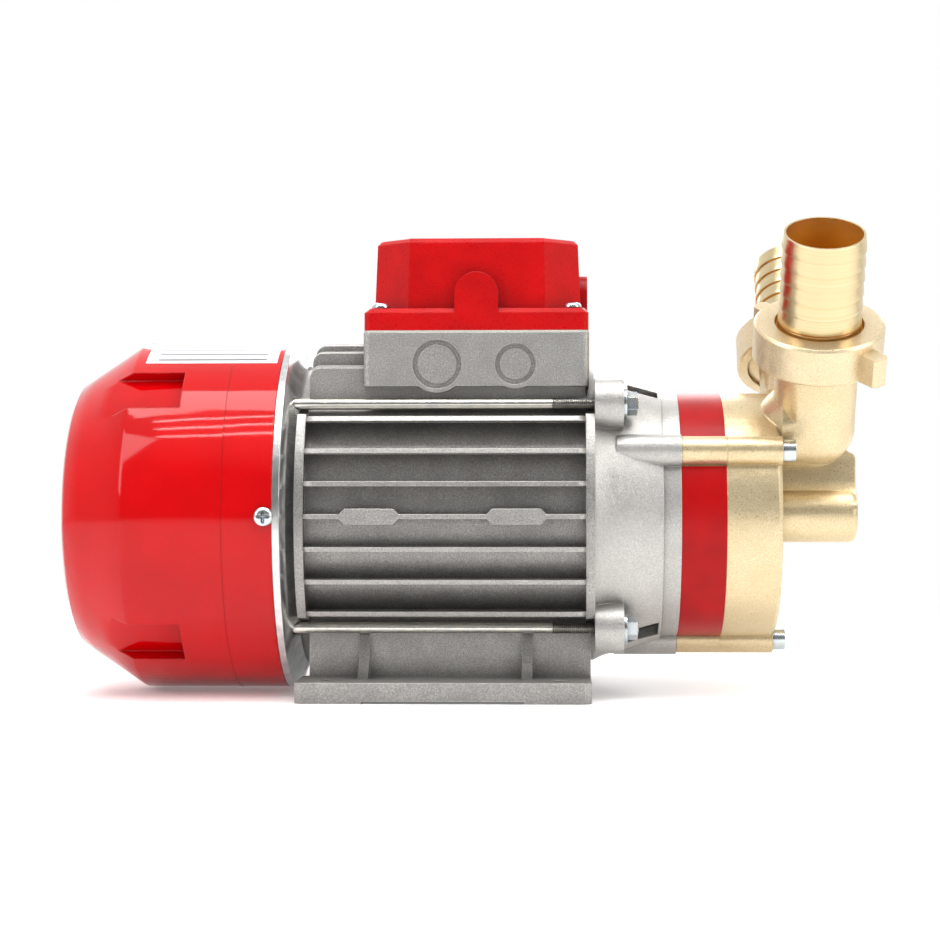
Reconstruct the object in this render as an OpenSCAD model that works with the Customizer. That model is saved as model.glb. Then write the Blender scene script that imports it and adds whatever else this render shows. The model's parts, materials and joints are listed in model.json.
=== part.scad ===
// Electric pump: a small foot-mounted motor that drives a brass self-priming pump
// with two hose tails. Millimetres. The shaft runs along X with the pump at +X, the
// feet stand on Z = 0, and the origin is the centre of the four foot bolts.

/* [Feet] */
// Height of the shaft above the ground
shaft_h = 71; // [70:0.5:80]
// Spacing of the foot bolts along the shaft
bolt_x = 90; // [80:1:96]
// Spacing of the foot bolts across the shaft
bolt_y = 112; // [106:1:118]
// Diameter of a foot bolt hole
bolt_d = 7; // [5:0.5:9]
// Thickness of a foot
foot_t = 8; // [6:0.5:10]
// Width over both feet
foot_w = 136; // [132:1:142]
// Width of one foot
foot_rail = 34; // [30:1:36]
// Length of a foot
foot_len = 113; // [108:1:114]
// Chamfer on a foot's corners
foot_chamfer = 2.5; // [1:0.5:4]
// Length of the shallow relief under a foot
relief_len = 62; // [40:1:66]
// Depth of the relief
relief_depth = 1; // [0.5:0.1:2]
// Thickness of the wall that carries a foot
foot_web_t = 4; // [3:0.5:4.5]
// Gap between that wall and the tie rod beside it
web_rod_gap = 1.5; // [1:0.5:3]
// Spacing of the two gussets on a foot
gusset_x = 63.5; // [50:1:66]
// Thickness of a gusset
gusset_t = 4; // [3:0.5:6]
// How far a gusset runs out over the foot
gusset_out = 12; // [8:0.5:13]

/* [Motor housing] */
// Length of the housing casting
house_len = 115; // [112:1:125]
// How far the casting's middle lies in front of the bolts' middle
house_shift = 0.5; // [0:0.5:2]
// Outer radius of the housing under its fins
core_r = 58; // [57:0.5:58.5]
// Number of fins on each side and on top
fin_n = 7; // [5:2:7]
// Spacing of the fins
fin_pitch = 12.5; // [11:0.1:12.6]
// Radius at the fin tips
fin_r = 68.3; // [66:0.1:69]
// Extra height of the fins on top
fin_top_extra = 1.2; // [0:0.1:1.5]
// Thickness of a fin at its tip
fin_tip_t = 1.7; // [1.4:0.1:2.2]
// Thickness of a fin at the housing
fin_root_t = 2.4; // [2:0.1:3]
// Rounding of the fin ends
fin_round = 4; // [2:0.5:6]
// Width of the rim at each end of the fins
rim_w = 3.5; // [2.5:0.5:5]
// Radius of the rim between the tie rods
rim_r = 64; // [62:0.5:66]
// Length of a pad on the middle fin
pad_len = 22.5; // [18:0.5:26]
// Width of a pad
pad_w = 6; // [5:0.5:8]
// Spacing of the two pads
pad_x = 56; // [48:1:62]

/* [Terminal box] */
// Length and width of the box
box_w = 88; // [86:1:90]
// Wall of the box
box_wall = 3; // [2.5:0.5:4]
// Height of the box's outer walls
box_side = 21; // [18:0.5:24]
// Height of the box's top face above the shaft
box_rise = 71.5; // [71:0.5:76]
// Height of the box's floor above the shaft
floor_rise = 59.5; // [59:0.5:61]
// Gap between the box and the front of the housing
box_back = 2; // [1:0.5:4]
// Rounding of the box's corners
box_round = 2.5; // [1.5:0.5:4]
// Inset of the cover screws from the box's walls
box_screw_in = 6.5; // [6:0.5:8]
// Radius of a screw post inside the box
post_r = 4.5; // [4:0.5:5]
// Width of the thick patch round a cable knock-out
knock_edge = 1.6; // [1:0.1:2.5]
// Radius of the large knock-out
knock_r = 9.6; // [8:0.1:10]
// Radius of the small knock-out
knock_small_r = 8; // [7:0.1:9]
// Spacing of the two knock-outs
knock_x = 30.5; // [28:0.5:34]
// Width of a knock-out's ring groove
knock_ring = 2; // [1:0.1:2.5]
// Depth of the ring groove
knock_deep = 1.2; // [0.6:0.1:1.5]

/* [Terminal box cover] */
// Thickness of the gasket under the cover
gasket_t = 0.7; // [0.5:0.1:1.5]
// Height of the cover's skirt
skirt_h = 8.8; // [7:0.1:11]
// Wall of the cover
cover_wall = 2.5; // [2:0.1:3]
// Bevel along the top of the skirt
skirt_bevel = 1.8; // [1:0.1:2.5]
// Ledge beside the dome at its two ends
dome_end_ledge = 3; // [3:0.5:5]
// Ledge beside the dome at its two sides
dome_side_ledge = 6; // [5:0.5:8]
// Cut across each corner of the dome
dome_cut = 14; // [13:0.5:16]
// Height of the dome above the skirt
dome_h = 28; // [24:0.5:34]
// Draft of the dome's sides
dome_draft = 1.2; // [0.5:0.1:2]
// Bevel round the dome's top
dome_bevel = 1.7; // [1:0.1:2.5]
// Width of a round-topped tab
tab_w = 17; // [14:0.5:20]
// Height of a tab above the skirt
tab_h = 14.2; // [11:0.1:18]
// Extra height of the tab on the pump's side
tab_end_extra = 2; // [0:0.1:4]

/* [Tie rods] */
// Distance of each tie rod from the shaft, sideways and up
rod_off = 43.5; // [43.3:0.1:44.5]
// Radius of the rod's plain shank
rod_r = 2.2; // [2:0.1:2.4]
// Radius of the rod's thread
rod_thread_r = 2.5; // [2.4:0.05:2.6]
// Length of the thread
rod_thread_len = 33.5; // [20:0.5:40]
// Width across flats of the hexagons
hex_af = 8; // [7:0.5:8]
// Height of a rod's head
rod_head_h = 3.5; // [3:0.5:5]
// Height of a flange nut
nut_h = 5.3; // [4:0.1:6]
// Flange radius of a nut
nut_flange_r = 6.2; // [5.5:0.1:6.5]
// Flange thickness of a nut
nut_flange_t = 1.3; // [1:0.1:2]

/* [Rear endshield] */
// How far the rim that shows behind the cowl stands outside the circle of the rods
shield_over_rods = 8.48; // [8:0.01:9]
// Width of that rim
shield_rim = 2.6; // [2:0.1:4]
// Distance from the rim to the housing
shoulder_len = 5; // [4:0.5:7]
// Length of the ring that carries the cowl
register_len = 6.4; // [6:0.1:9]
// Depth of the spigots that centre both endshields
spigot_len = 3; // [2:0.5:4]
// Thickness of the endshield's web
shield_web = 5; // [4:0.5:5.5]
// Radius of the bearing hub
shield_hub_r = 23; // [21:0.5:26]

/* [Fan cowl] */
// Wall of the cowl
cowl_wall = 2.2; // [1.8:0.1:2.3]
// Length of the cowl's straight part
cowl_len = 57.2; // [54:0.1:64]
// Length of its cone
cone_len = 27; // [24:0.5:34]
// Radius at the end of the cone
cone_r = 52; // [48:0.5:56]
// Edge break at the shoulder and at the back
cowl_edge = 1.5; // [0.5:0.1:2]
// Gap between cowl and endshield
cowl_gap = 0.2; // [0.1:0.05:0.3]
// Length of a sunk pocket in the straight part
pocket_len = 20; // [16:0.5:26]
// Width of a pocket
pocket_w = 20; // [14:0.5:24]
// Depth of a pocket
pocket_deep = 5; // [3:0.1:5.5]
// Width of a ring slot in the air grille
slot_w = 4; // [3:0.1:4.5]
// Spacing of the ring slots
slot_pitch = 7; // [6.5:0.1:7.5]
// Number of ring slots
slot_n = 5; // [3:1:5]
// Inner radius of the first slot
slot_r = 12; // [10:0.5:13]
// Number of grille spokes
spoke_n = 8; // [6:1:10]
// Width of a spoke
spoke_w = 3; // [2.5:0.1:4]
// Radius of a cowl screw's head
cowl_head_r = 3.9; // [3.5:0.1:4.2]
// Height of that head
cowl_head_h = 2.2; // [1.8:0.1:2.6]
// Radius of the screw's thread
cowl_screw_r = 1.9; // [1.5:0.1:2]
// Number of cowl screws
cowl_screw_n = 3; // [2:1:3]

/* [Fan] */
// Radius at the blade tips
fan_r = 56; // [50:0.5:58]
// Width of a blade
blade_w = 20; // [16:0.5:24]
// Thickness of a blade
blade_t = 2; // [1.5:0.1:3]
// Number of blades
blade_n = 8; // [6:1:10]
// Radius of the fan's hub
fan_hub_r = 13; // [11:0.5:15]
// Length of the hub
fan_hub_len = 23; // [21:0.5:26]
// Radius of the fan's back plate
fan_plate_r = 40; // [34:0.5:46]
// Distance from the endshield's hub to the fan
fan_gap = 6; // [4:0.5:9]

/* [Shaft and rotor] */
// Radius of the shaft in its bearings
journal_r = 7.5; // [7.4:0.05:7.6]
// Radius of the shaft in the rotor
rotor_seat_r = 9.5; // [9:0.1:11]
// Radius of the shaft in the fan and in the shaft seal
tail_r = 7; // [6.6:0.1:7.2]
// Radius of the shaft in the impeller
impeller_seat_r = 6; // [5.6:0.1:6.3]
// Outer radius of the rotor
rotor_r = 29.6; // [28:0.1:29.6]
// Length of the rotor and stator stacks
stack_len = 64; // [56:1:66]
// Length of a rotor end ring
end_ring_len = 8; // [6:0.5:9]
// Number of small vanes on an end ring
vane_n = 8; // [6:1:12]

/* [Stator] */
// Gap between stator and rotor
air_gap = 0.4; // [0.3:0.05:0.5]
// Outer radius of the stator
stator_r = 53; // [52.5:0.1:53]
// Number of stator slots
stator_slots = 24; // [18:6:24]
// Length of a winding's end turns
end_turn_len = 15; // [12:0.5:16]

/* [Bearings] */
// Outer radius of a bearing
bearing_r = 17.5; // [17:0.1:18]
// Width of a bearing
bearing_w = 11; // [10:0.5:12]
// Radius of a ball
ball_r = 2.975; // [2.8:0.025:3.05]
// Number of balls
ball_n = 8; // [7:1:9]
// Clearance between a ball and its grooves
ball_clear = 0.075; // [0.05:0.005:0.1]
// Thickness of the preload washer
washer_t = 1.4; // [1:0.1:2]

/* [Front bracket] */
// Distance from the housing to the pump's flange
lantern_len = 33.5; // [33:0.5:38]
// Distance from the housing to the start of the cone
cone_start = 11; // [10:0.5:13]
// Radius at the start of the cone
lantern_r0 = 55; // [54:0.1:56]
// Radius at the end of the cone
lantern_r1 = 50.6; // [50:0.1:52]
// Width of the flange
flange_w = 7; // [6:0.5:8]
// Wall of the lantern
lantern_wall = 4.5; // [3.5:0.1:5]
// Thickness of the bracket's web
bracket_web = 4; // [3.5:0.1:5]
// Radius of its bearing hub
bracket_hub_r = 21.5; // [20.5:0.1:24]
// Radius of a lug for a tie rod
lug_r = 9.8; // [8.5:0.1:10]
// Length of a lug
lug_len = 11.2; // [9:0.1:13]
// Radius of a bolt boss on the bracket
bracket_boss_r = 6.3; // [6:0.1:7]
// Length of a bolt boss on the bracket
bracket_boss_len = 25; // [20:0.5:27]
// Length of a drain window
window_len = 12; // [8:0.5:13]
// Width of the two drain windows below
window_w = 12; // [8:0.5:13]
// Angle of the lower windows from straight down
window_turn = 27; // [24:1:32]
// Width of the two windows on top
window_top_w = 7.5; // [6:0.5:10]
// Angle of the top windows from straight up
window_top_turn = 20; // [12:1:26]

/* [Pump] */
// Outer radius of the pump
pump_r = 49.2; // [48.5:0.1:50]
// Length of the middle ring
ring_len = 17.5; // [16:0.1:20]
// Length of the cover
cover_len = 21.5; // [18:0.1:26]
// Bevel on the cover's front edge
cover_bevel = 1.5; // [1:0.1:3]
// Radius of the bolt circle
pump_bolt_ring = 50.5; // [50:0.1:51.5]
// Radius of a bolt boss
boss_r = 5.6; // [5.2:0.1:6.2]
// Radius of the pump chamber
chamber_r = 41; // [39:0.1:41.5]
// Thickness of the chamber's back wall
back_wall = 5.5; // [5:0.1:6.5]
// Thickness of a red strip
strip_t = 0.5; // [0.3:0.05:0.8]
// Angle that a strip covers
strip_angle = 106; // [100:1:107]
// Length of the seal housing behind the pump
seal_house_len = 12.5; // [12:0.1:13.5]
// Radius of the seal housing
seal_house_r = 16.5; // [15.5:0.1:18]
// Radius of the bore for the shaft seal
seal_bore_r = 12.6; // [12.3:0.05:13]
// Radius of a bolt's shank
pump_bolt_r = 2.45; // [2.3:0.05:2.5]
// Length of a bolt's shank
pump_bolt_len = 50; // [44:0.5:52]
// Radius of a bolt's head
bolt_head_r = 4.4; // [4:0.05:4.5]
// Height of a bolt's head
bolt_head_h = 5; // [4:0.1:6]

/* [Impeller] */
// Outer radius of the impeller
impeller_r = 40.6; // [38.5:0.1:40.7]
// Number of blades
impeller_n = 16; // [10:1:20]
// Radius at the bottom of the gaps between blades
impeller_root_r = 20; // [18:0.5:24]
// Share of a blade's pitch that is blade
blade_share = 0.3; // [0.2:0.01:0.4]
// Running gap on each side of the impeller
impeller_gap = 0.3; // [0.2:0.05:0.5]
// Width of the key
key_w = 4; // [3:0.1:4.5]

/* [Ports] */
// Lean of each port from upright
port_tilt = 30; // [28:0.5:34]
// Distance of the ports in front of the cover
port_fwd = 14.5; // [14:0.1:18]
// Outer radius of a port's tube
port_r = 16.2; // [15.5:0.1:16.5]
// Bore radius of a port
port_bore_r = 12.5; // [11:0.1:12.8]
// Distance from the shaft to the elbow of a port
elbow_t = 41; // [40:0.5:43]
// Distance from the shaft to the end of a port
port_end_t = 80.2; // [78:0.1:84]
// Radius of the port's thread
port_thread_r = 20.95; // [20.5:0.05:21]
// Length of the thread
port_thread_len = 7.7; // [6:0.1:9]
// Radius of the hub under the ports
hub_r = 11; // [10:0.1:12]
// Spacing of the hub's two round ends
hub_span = 30; // [28:0.5:32]
// Rounding of the hub's front edge
hub_round = 2.5; // [1.5:0.1:4]
// Width of the neck between hub and ports
neck_w = 36; // [34:0.5:39]
// Height of the neck's front above the shaft
neck_h = 25; // [22:0.5:28]
// Length of the root that blends each port into the cover
root_len = 7; // [4:0.5:8]
// Share of the port's radius at which the root starts
root_share = 0.46; // [0.4:0.01:0.5]

/* [Union nuts] */
// Outer radius of a union nut
union_r = 25.3; // [24.5:0.1:26]
// Height of a union nut
union_h = 15.2; // [14:0.1:17]
// Thickness of its rim
union_rim = 2.5; // [2:0.1:3]
// Hole radius in the rim
union_hole_r = 17.3; // [17:0.1:18]
// How far a lug stands out
lug_out = 7.7; // [6:0.1:9]
// Width of a lug
wing_w = 7; // [5:0.1:9]
// Height of a lug
wing_h = 11.5; // [9:0.1:12]
// Where the near nut's lugs point
near_wing_angle = -49; // [-60:1:-30]
// Where the far nut's lugs point
far_wing_angle = 80; // [60:1:120]

/* [Hose tails] */
// Thickness of the gasket under a tail
tail_gasket_t = 1.5; // [1:0.1:2]
// Radius of a tail's flange
tail_flange_r = 20.3; // [19.5:0.1:20.5]
// Thickness of that flange
tail_flange_t = 2.2; // [1.8:0.1:2.6]
// Inner radius of a tail
tail_bore_r = 14.7; // [14:0.1:14.9]
// Radius at the tip of a barb
barb_r = 16.15; // [15.8:0.05:16.3]
// Radius at the foot of a barb
barb_foot_r = 15.5; // [15.2:0.05:15.6]
// Spacing of the barbs
barb_pitch = 6; // [5:0.1:7]
// Number of barbs
barb_n = 6; // [4:1:6]
// Length of a barb's flat tip
barb_land = 0.8; // [0.5:0.1:1.5]
// Length of the plain stretch above the flange
tail_neck = 4.1; // [3.5:0.1:6]

/* [Hidden] */

// Clearance of parts that are pressed or bolted together
fit = 0.03;
// Overrun of a cut past the face it opens
over = 0.5;
// Thickness of the thin slices that a blend is drawn between
slice = 0.01;
// Facets of round surfaces
round_fn = 96;

// Colours
aluminium = "#A9A49C";
machined = "#C9C7C2";
red = "#C8060A";
cast_brass = "#C8B07E";
turned_brass = "#D9C48A";
zinc = "#C4CACB";
steel = "#8C9094";
copper = "#A8552A";

// Stations along the shaft
x_rear = house_shift - house_len / 2;
x_front = house_shift + house_len / 2;
x_rim = x_rear - shoulder_len;
x_register = x_rim - shield_rim;
x_shield_back = x_register - register_len;
x_pump = x_front + lantern_len;
x_cover = x_pump + ring_len;
x_face = x_cover + cover_len;
x_port = x_face + port_fwd;

// Rear bearing: its front face lies a little inside the web
x_web_rear = x_rim;
rear_seat_lip = 1;
x_rear_bearing = x_web_rear - bearing_w;
x_rear_seat = x_rear_bearing - washer_t;
hub_lip = 3;
x_hub_back = x_rear_seat - hub_lip;
shaft_gap = 1;

// Front bearing: it sits in the bracket from the motor side
bearing_in = 2;
x_front_bearing = x_front + bearing_in;
x_front_lip = x_front_bearing + bearing_w;
x_bracket_hub = x_front_lip + hub_lip;
x_seal_house = x_pump - seal_house_len;

// Radii inside the motor
bore_r = stator_r + fit;
spigot_r = bore_r - fit;
spigot_wall = 3.4;
end_space_r = spigot_r - spigot_wall;
register_wall = 2.4;
rod_ring_r = rod_off * sqrt(2);
shield_r = rod_ring_r + shield_over_rods;
register_r = shield_r - register_wall;
cowl_in_r = shield_r - cowl_wall;
shoulder_r = rim_r - 2 * fin_tip_t;
shoulder_shares = [0.2, 0.7];
rear_step_r = rod_ring_r - hex_af / 2 - shaft_gap;

// Terminal box
x_box1 = x_front - box_back;
x_box_mid = x_box1 - box_w / 2;
z_box_top = shaft_h + box_rise;
z_box_low = z_box_top - box_side;
z_floor = shaft_h + floor_rise;
z_skirt = z_box_top + gasket_t;
z_ledge = z_skirt + skirt_h;
z_dome = z_ledge + dome_h;
knock_up_share = 0.41;
knock_share = 0.6;
z_knock = z_box_low + box_side * knock_up_share;
cover_inset = 0.25;
dome_len = box_w - 2 * dome_end_ledge;
dome_w = box_w - 2 * dome_side_ledge;
screw_at = box_w / 2 - box_screw_in;
box_screw_r = 1.6;
box_screw_len = 12;
pan_head_r = 3.6;
pan_head_h = 2.4;
pan_shares = [[0.4, 1], [0.85, 0.75], [1, 0.4]];

// Foot
web_out = rod_off - rod_thread_r - web_rod_gap;
web_in = web_out - foot_web_t;
gusset_shares = [[1, 0], [0.5, 0.3], [0.2, 0.75], [0.06, 1.4]];

// Fins and rims
function fin_at(k) = (k - (fin_n - 1) / 2) * fin_pitch;
fin_half = fin_at(fin_n - 1);
x_fin0 = x_rear + rim_w - slice;
x_fin1 = x_front - rim_w + slice;
rim_half = rod_off - rod_thread_r - web_rod_gap;
rim_core_r = core_r + shaft_gap;

// Bearing parts
race_mid_r = (bearing_r + journal_r) / 2;
race_gap = 2;
groove_r = ball_r + ball_clear;
cage_t = 1.9;
cage_w = 2 * ball_r - shaft_gap;
pocket_r = ball_r + ball_clear * 2;

// Shaft seal: seat in the pump body, ring and bellows on the shaft
seal_lip = 4;
seal_lip_gap = 1.4;
seal_lip_r = tail_r + seal_lip_gap;
seat_len = 4;
seal_face_gap = 0.05;
seal_ring_len = 3.5;
x_seat = x_seal_house + seal_lip;
x_seal_ring = x_seat + seat_len + seal_face_gap;
x_bellows = x_seal_ring + seal_ring_len;
seal_ring_gap = 1.6;
seal_ring_r = seal_bore_r - seal_ring_gap;
fold_n = 3;
fold_deep = 1.2;
x_chamber = x_pump + back_wall;
x_impeller = x_chamber + impeller_gap;
x_impeller_end = x_cover - impeller_gap;
impeller_w = x_impeller_end - x_impeller;
key_h = 4;
key_sink = 2;

// Pump
body_r = pump_r - strip_t - fit;
spigot_body_in = 5.2;
spigot_body_r = pump_r - spigot_body_in;
spigot_body_len = 3;
spigot_body_wall = 4;
o_ring_r = 0.85;
o_groove = 1.8;
o_mid_r = (chamber_r + body_r) / 2;
boss_angles = [30, 150, 270];
bolt_hole_r = pump_bolt_r + fit;
channel_deep = 4;
channel_w = 11;
channel_angle = 308;
port_hole_r = 6;
port_hole_t = 30;
port_hole_step = 1.5;

// Ports, measured along a port's own axis from the shaft
elbow_bulge = 0.15;
leg_slim = 0.2;
hub_stand = 1;
flare_len = 1.5;
thread_t = port_end_t - port_thread_len;
x_hub_front = x_port + port_r + hub_stand;
union_t0 = port_end_t + tail_gasket_t + tail_flange_t + seal_face_gap * 2 + union_rim - union_h;
tail_t0 = port_end_t + tail_gasket_t;
barb_t0 = tail_t0 + tail_flange_t + tail_neck;
tail_t1 = barb_t0 + barb_n * barb_pitch;
nut_thread_clear = 0.1;

// Helpers

// Moves the drawing to the shaft's axis
module on_shaft() translate([0, 0, shaft_h]) children();

// Turns a profile of [place along the shaft, radius] points about the shaft
module turned(profile, angle = 360)
    rotate([0, 90, 0]) rotate_extrude(angle = angle, $fn = round_fn)
        polygon([for (p = profile) [p[1], p[0]]]);

// A turned ring from x0 to x1 between two radii
module ring(x0, x1, r0, r1) turned([[x0, r0], [x0, r1], [x1, r1], [x1, r0]]);

// A straight bar along the shaft
module bar(x0, x1, r, sides = round_fn)
    translate([x0, 0, 0]) rotate([0, 90, 0]) cylinder(h = x1 - x0, r = r, $fn = sides);

// Pulls an outline of [across, up] along the shaft
module along(x0, x1) translate([x0, 0, 0]) rotate([90, 0, 90]) linear_extrude(x1 - x0) children();

// Copies to the four tie rod places
module at_rods() for (y = [-rod_off, rod_off], z = [-rod_off, rod_off]) translate([0, y, z]) children();

// Copies to the three pump bolt places
module at_bosses() for (a = boss_angles) rotate([a, 0, 0]) translate([0, pump_bolt_ring, 0]) children();

// Stands a drawing on a port's axis: side is 1 for the near port and -1 for the far one
module on_port(side) translate([x_port, 0, shaft_h]) rotate([side * port_tilt, 0, 0]) children();

// A turned profile of [height, radius] points on an upright axis
module lathe(profile) rotate_extrude($fn = round_fn) polygon([for (p = profile) [p[1], p[0]]]);

// A pan head that stands on the ground
module pan_head(r, h)
    lathe(concat([[0, 0], [0, r]], [for (p = pan_shares) [h * p[0], r * p[1]]], [[h, 0]]));

// Points of a rectangle with round corners
function quarter(cx, cy, r, a) = [for (i = [0:4]) [cx + r * cos(a + i * 22.5), cy + r * sin(a + i * 22.5)]];
function round_rect(l, w, r) = concat(
    quarter(l / 2 - r, w / 2 - r, r, 0), quarter(r - l / 2, w / 2 - r, r, 90),
    quarter(r - l / 2, r - w / 2, r, 180), quarter(l / 2 - r, r - w / 2, r, 270));

// Points of a rectangle with cut corners
function cut_rect(l, w, c) = [
    [l / 2, w / 2 - c], [l / 2 - c, w / 2], [c - l / 2, w / 2], [-l / 2, w / 2 - c],
    [-l / 2, c - w / 2], [c - l / 2, -w / 2], [l / 2 - c, -w / 2], [l / 2, c - w / 2]];

// Motor housing: fins, rims, feet and terminal box in one casting

module fin_outline()
    polygon([[-fin_root_t / 2, core_r / 2], [fin_root_t / 2, core_r / 2],
        [fin_tip_t / 2, fin_r + 2 * fin_top_extra], [-fin_tip_t / 2, fin_r + 2 * fin_top_extra]]);

module fin_row() for (k = [0:fin_n - 1]) translate([fin_at(k), 0]) fin_outline();

module fin_envelope(r)
    turned(concat([[x_fin0, 0]],
        [for (i = [0:4]) [x_fin0 + fin_round * (1 - cos(i * 22.5)), r - fin_round * (1 - sin(i * 22.5))]],
        [for (i = [0:4]) [x_fin1 - fin_round * (1 - sin(i * 22.5)), r - fin_round * (1 - cos(i * 22.5))]],
        [[x_fin1, 0]]));

module fins() {
    intersection() {
        along(x_rear, x_front) for (turn = [90, -90]) rotate(turn) fin_row();
        fin_envelope(fin_r);
    }
    intersection() {
        along(x_rear, x_front) fin_row();
        fin_envelope(fin_r + fin_top_extra);
    }
}

module rims() for (x = [x_rear, x_front - rim_w]) {
    bar(x, x + rim_w, rim_core_r);
    intersection() {
        bar(x, x + rim_w, rim_r);
        translate([x, -rim_r, -rim_half]) cube([rim_w, 2 * rim_r, 2 * rim_half]);
    }
}

module pads() for (x = [-pad_x / 2, pad_x / 2], side = [-1, 1])
    translate([x, side * core_r / 2, 0]) rotate([-90 * side, 0, 0])
        linear_extrude(fin_r - core_r / 2) polygon(cut_rect(pad_len, pad_w, pad_w / 3));

module gusset() polygon(concat(
    [[web_in, foot_t - over], [web_out + gusset_out, foot_t - over]],
    [for (p = gusset_shares) [web_out + gusset_out * p[0], foot_t + gusset_out * p[1]]],
    [[web_in, foot_t + gusset_out * gusset_shares[3][1]]]));

module foot() difference() {
    union() {
        translate([0, foot_w / 2 - foot_rail / 2, 0])
            linear_extrude(foot_t) polygon(cut_rect(foot_len, foot_rail, foot_chamfer));
        translate([x_rear + rim_w, web_in, foot_t - over])
            cube([foot_len / 2 - x_rear - rim_w, foot_web_t, shaft_h - fin_half - foot_t + over]);
        for (x = [-gusset_x / 2, gusset_x / 2]) along(x - gusset_t / 2, x + gusset_t / 2) gusset();
    }
    translate([-relief_len / 2, 0, -over]) cube([relief_len, foot_w, relief_depth + over]);
    for (x = [-bolt_x / 2, bolt_x / 2])
        translate([x, bolt_y / 2, -over]) cylinder(h = foot_t + 2 * over, d = bolt_d, $fn = round_fn);
}

// The box: its walls, and the thick round patches where the cable entries are cast shut
module box_shell() {
    translate([x_box_mid, 0, z_box_low])
        linear_extrude(box_side) polygon(round_rect(box_w, box_w, box_round));
    at_knocks() translate([0, 0, -2 * box_wall])
        cylinder(h = 2 * box_wall, r = $knock + knock_edge, $fn = round_fn);
}

// Copies to the four knock-outs, with each one's radius in $knock
module at_knocks() for (side = [-1, 1], i = [0, 1]) {
    $knock = i == 0 ? knock_r : knock_small_r;
    translate([x_box_mid + (i - 0.5) * knock_x, side * box_w / 2, z_knock])
        rotate([-90 * side, 0, 0]) children();
}

module knock_grooves() at_knocks() difference() {
    translate([0, 0, -knock_deep]) cylinder(h = knock_deep + over, r = $knock, $fn = round_fn);
    translate([0, 0, -knock_deep - over])
        cylinder(h = knock_deep * knock_share + over, r = $knock - knock_ring, $fn = round_fn);
}

module at_box_screws() for (x = [-screw_at, screw_at], y = [-screw_at, screw_at])
    translate([x_box_mid + x, y, 0]) children();

module box_inside() difference() {
    translate([x_box_mid, 0, z_floor])
        linear_extrude(z_box_top - z_floor + over)
            polygon(round_rect(box_w - 2 * box_wall, box_w - 2 * box_wall, box_round));
    at_box_screws() translate([0, 0, z_floor - over])
        cylinder(h = z_box_top - z_floor + 3 * over, r = post_r, $fn = round_fn);
}

module motor_housing() color(aluminium) difference() {
    union() {
        on_shaft() {
            bar(x_rear, x_front, core_r);
            fins();
            rims();
            pads();
        }
        foot();
        mirror([0, 1, 0]) foot();
        box_shell();
    }
    on_shaft() bar(x_rear - over, x_front + over, bore_r);
    box_inside();
    knock_grooves();
    at_box_screws() translate([0, 0, z_box_top - box_screw_len])
        cylinder(h = box_screw_len + over, r = box_screw_r + fit, $fn = round_fn);
    translate([x_box_mid, 0, shaft_h + stator_r - over])
        cylinder(h = floor_rise - stator_r + 2 * over, r = knock_small_r, $fn = round_fn);
}

// Rear endshield: turned disc with the bearing hub and the ring that carries the cowl

module at_cowl_screws() for (i = [0:cowl_screw_n - 1])
    rotate([180 + i * 360 / cowl_screw_n, 0, 0])
        translate([x_shield_back + register_len / 2, 0, 0]) rotate([-90, 0, 0]) children();

module rear_endshield() color(machined) on_shaft() difference() {
    turned([
        [x_hub_back, journal_r + shaft_gap], [x_hub_back, shield_hub_r - shaft_gap],
        [x_web_rear - shield_web, shield_hub_r + shaft_gap],
        [x_web_rear - shield_web, rear_step_r - shield_web], [x_shield_back, rear_step_r],
        [x_shield_back, register_r], [x_register, register_r], [x_register, shield_r], [x_rim, shield_r],
        [x_rim + shoulder_len * shoulder_shares[0], shield_r - shield_rim / 2],
        [x_rim + shoulder_len * shoulder_shares[1], rim_r - fin_tip_t],
        [x_rear, shoulder_r], [x_rear, spigot_r], [x_rear + spigot_len, spigot_r],
        [x_rear + spigot_len, end_space_r], [x_web_rear, end_space_r], [x_web_rear, shield_hub_r],
        [x_web_rear + rear_seat_lip, shield_hub_r - shaft_gap], [x_web_rear + rear_seat_lip, bearing_r + fit],
        [x_rear_seat, bearing_r + fit], [x_rear_seat, journal_r + shaft_gap]]);
    at_rods() bar(x_shield_back - over, x_rear + over, rod_thread_r + fit);
    at_cowl_screws() translate([0, 0, rear_step_r - shaft_gap])
        cylinder(h = shield_r, r = cowl_screw_r + fit, $fn = round_fn);
}

// Fan cowl: moulded shell with a cone, four sunk pockets and a ring grille

x_cowl0 = x_register - cowl_gap;
x_shoulder = x_cowl0 - cowl_len;
x_cowl1 = x_shoulder - cone_len;
pocket_angles = [45, 135, 225, 315];

module cowl_pockets(grow) for (a = pocket_angles) rotate([a, 0, 0])
    translate([x_cowl1, shield_r - pocket_deep - grow, -pocket_w / 2 - grow])
        cube([x_shoulder + pocket_len + grow - x_cowl1, shield_r, pocket_w + 2 * grow]);

module grille_slots() difference() {
    for (i = [0:slot_n - 1])
        ring(x_cowl1 - over, x_cowl1 + cowl_wall + over,
            slot_r + i * slot_pitch, slot_r + i * slot_pitch + slot_w);
    for (i = [0:spoke_n - 1]) rotate([i * 360 / spoke_n, 0, 0])
        translate([x_cowl1 - 2 * over, 0, -spoke_w / 2])
            cube([cowl_wall + 4 * over, shield_r, spoke_w]);
}

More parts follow.
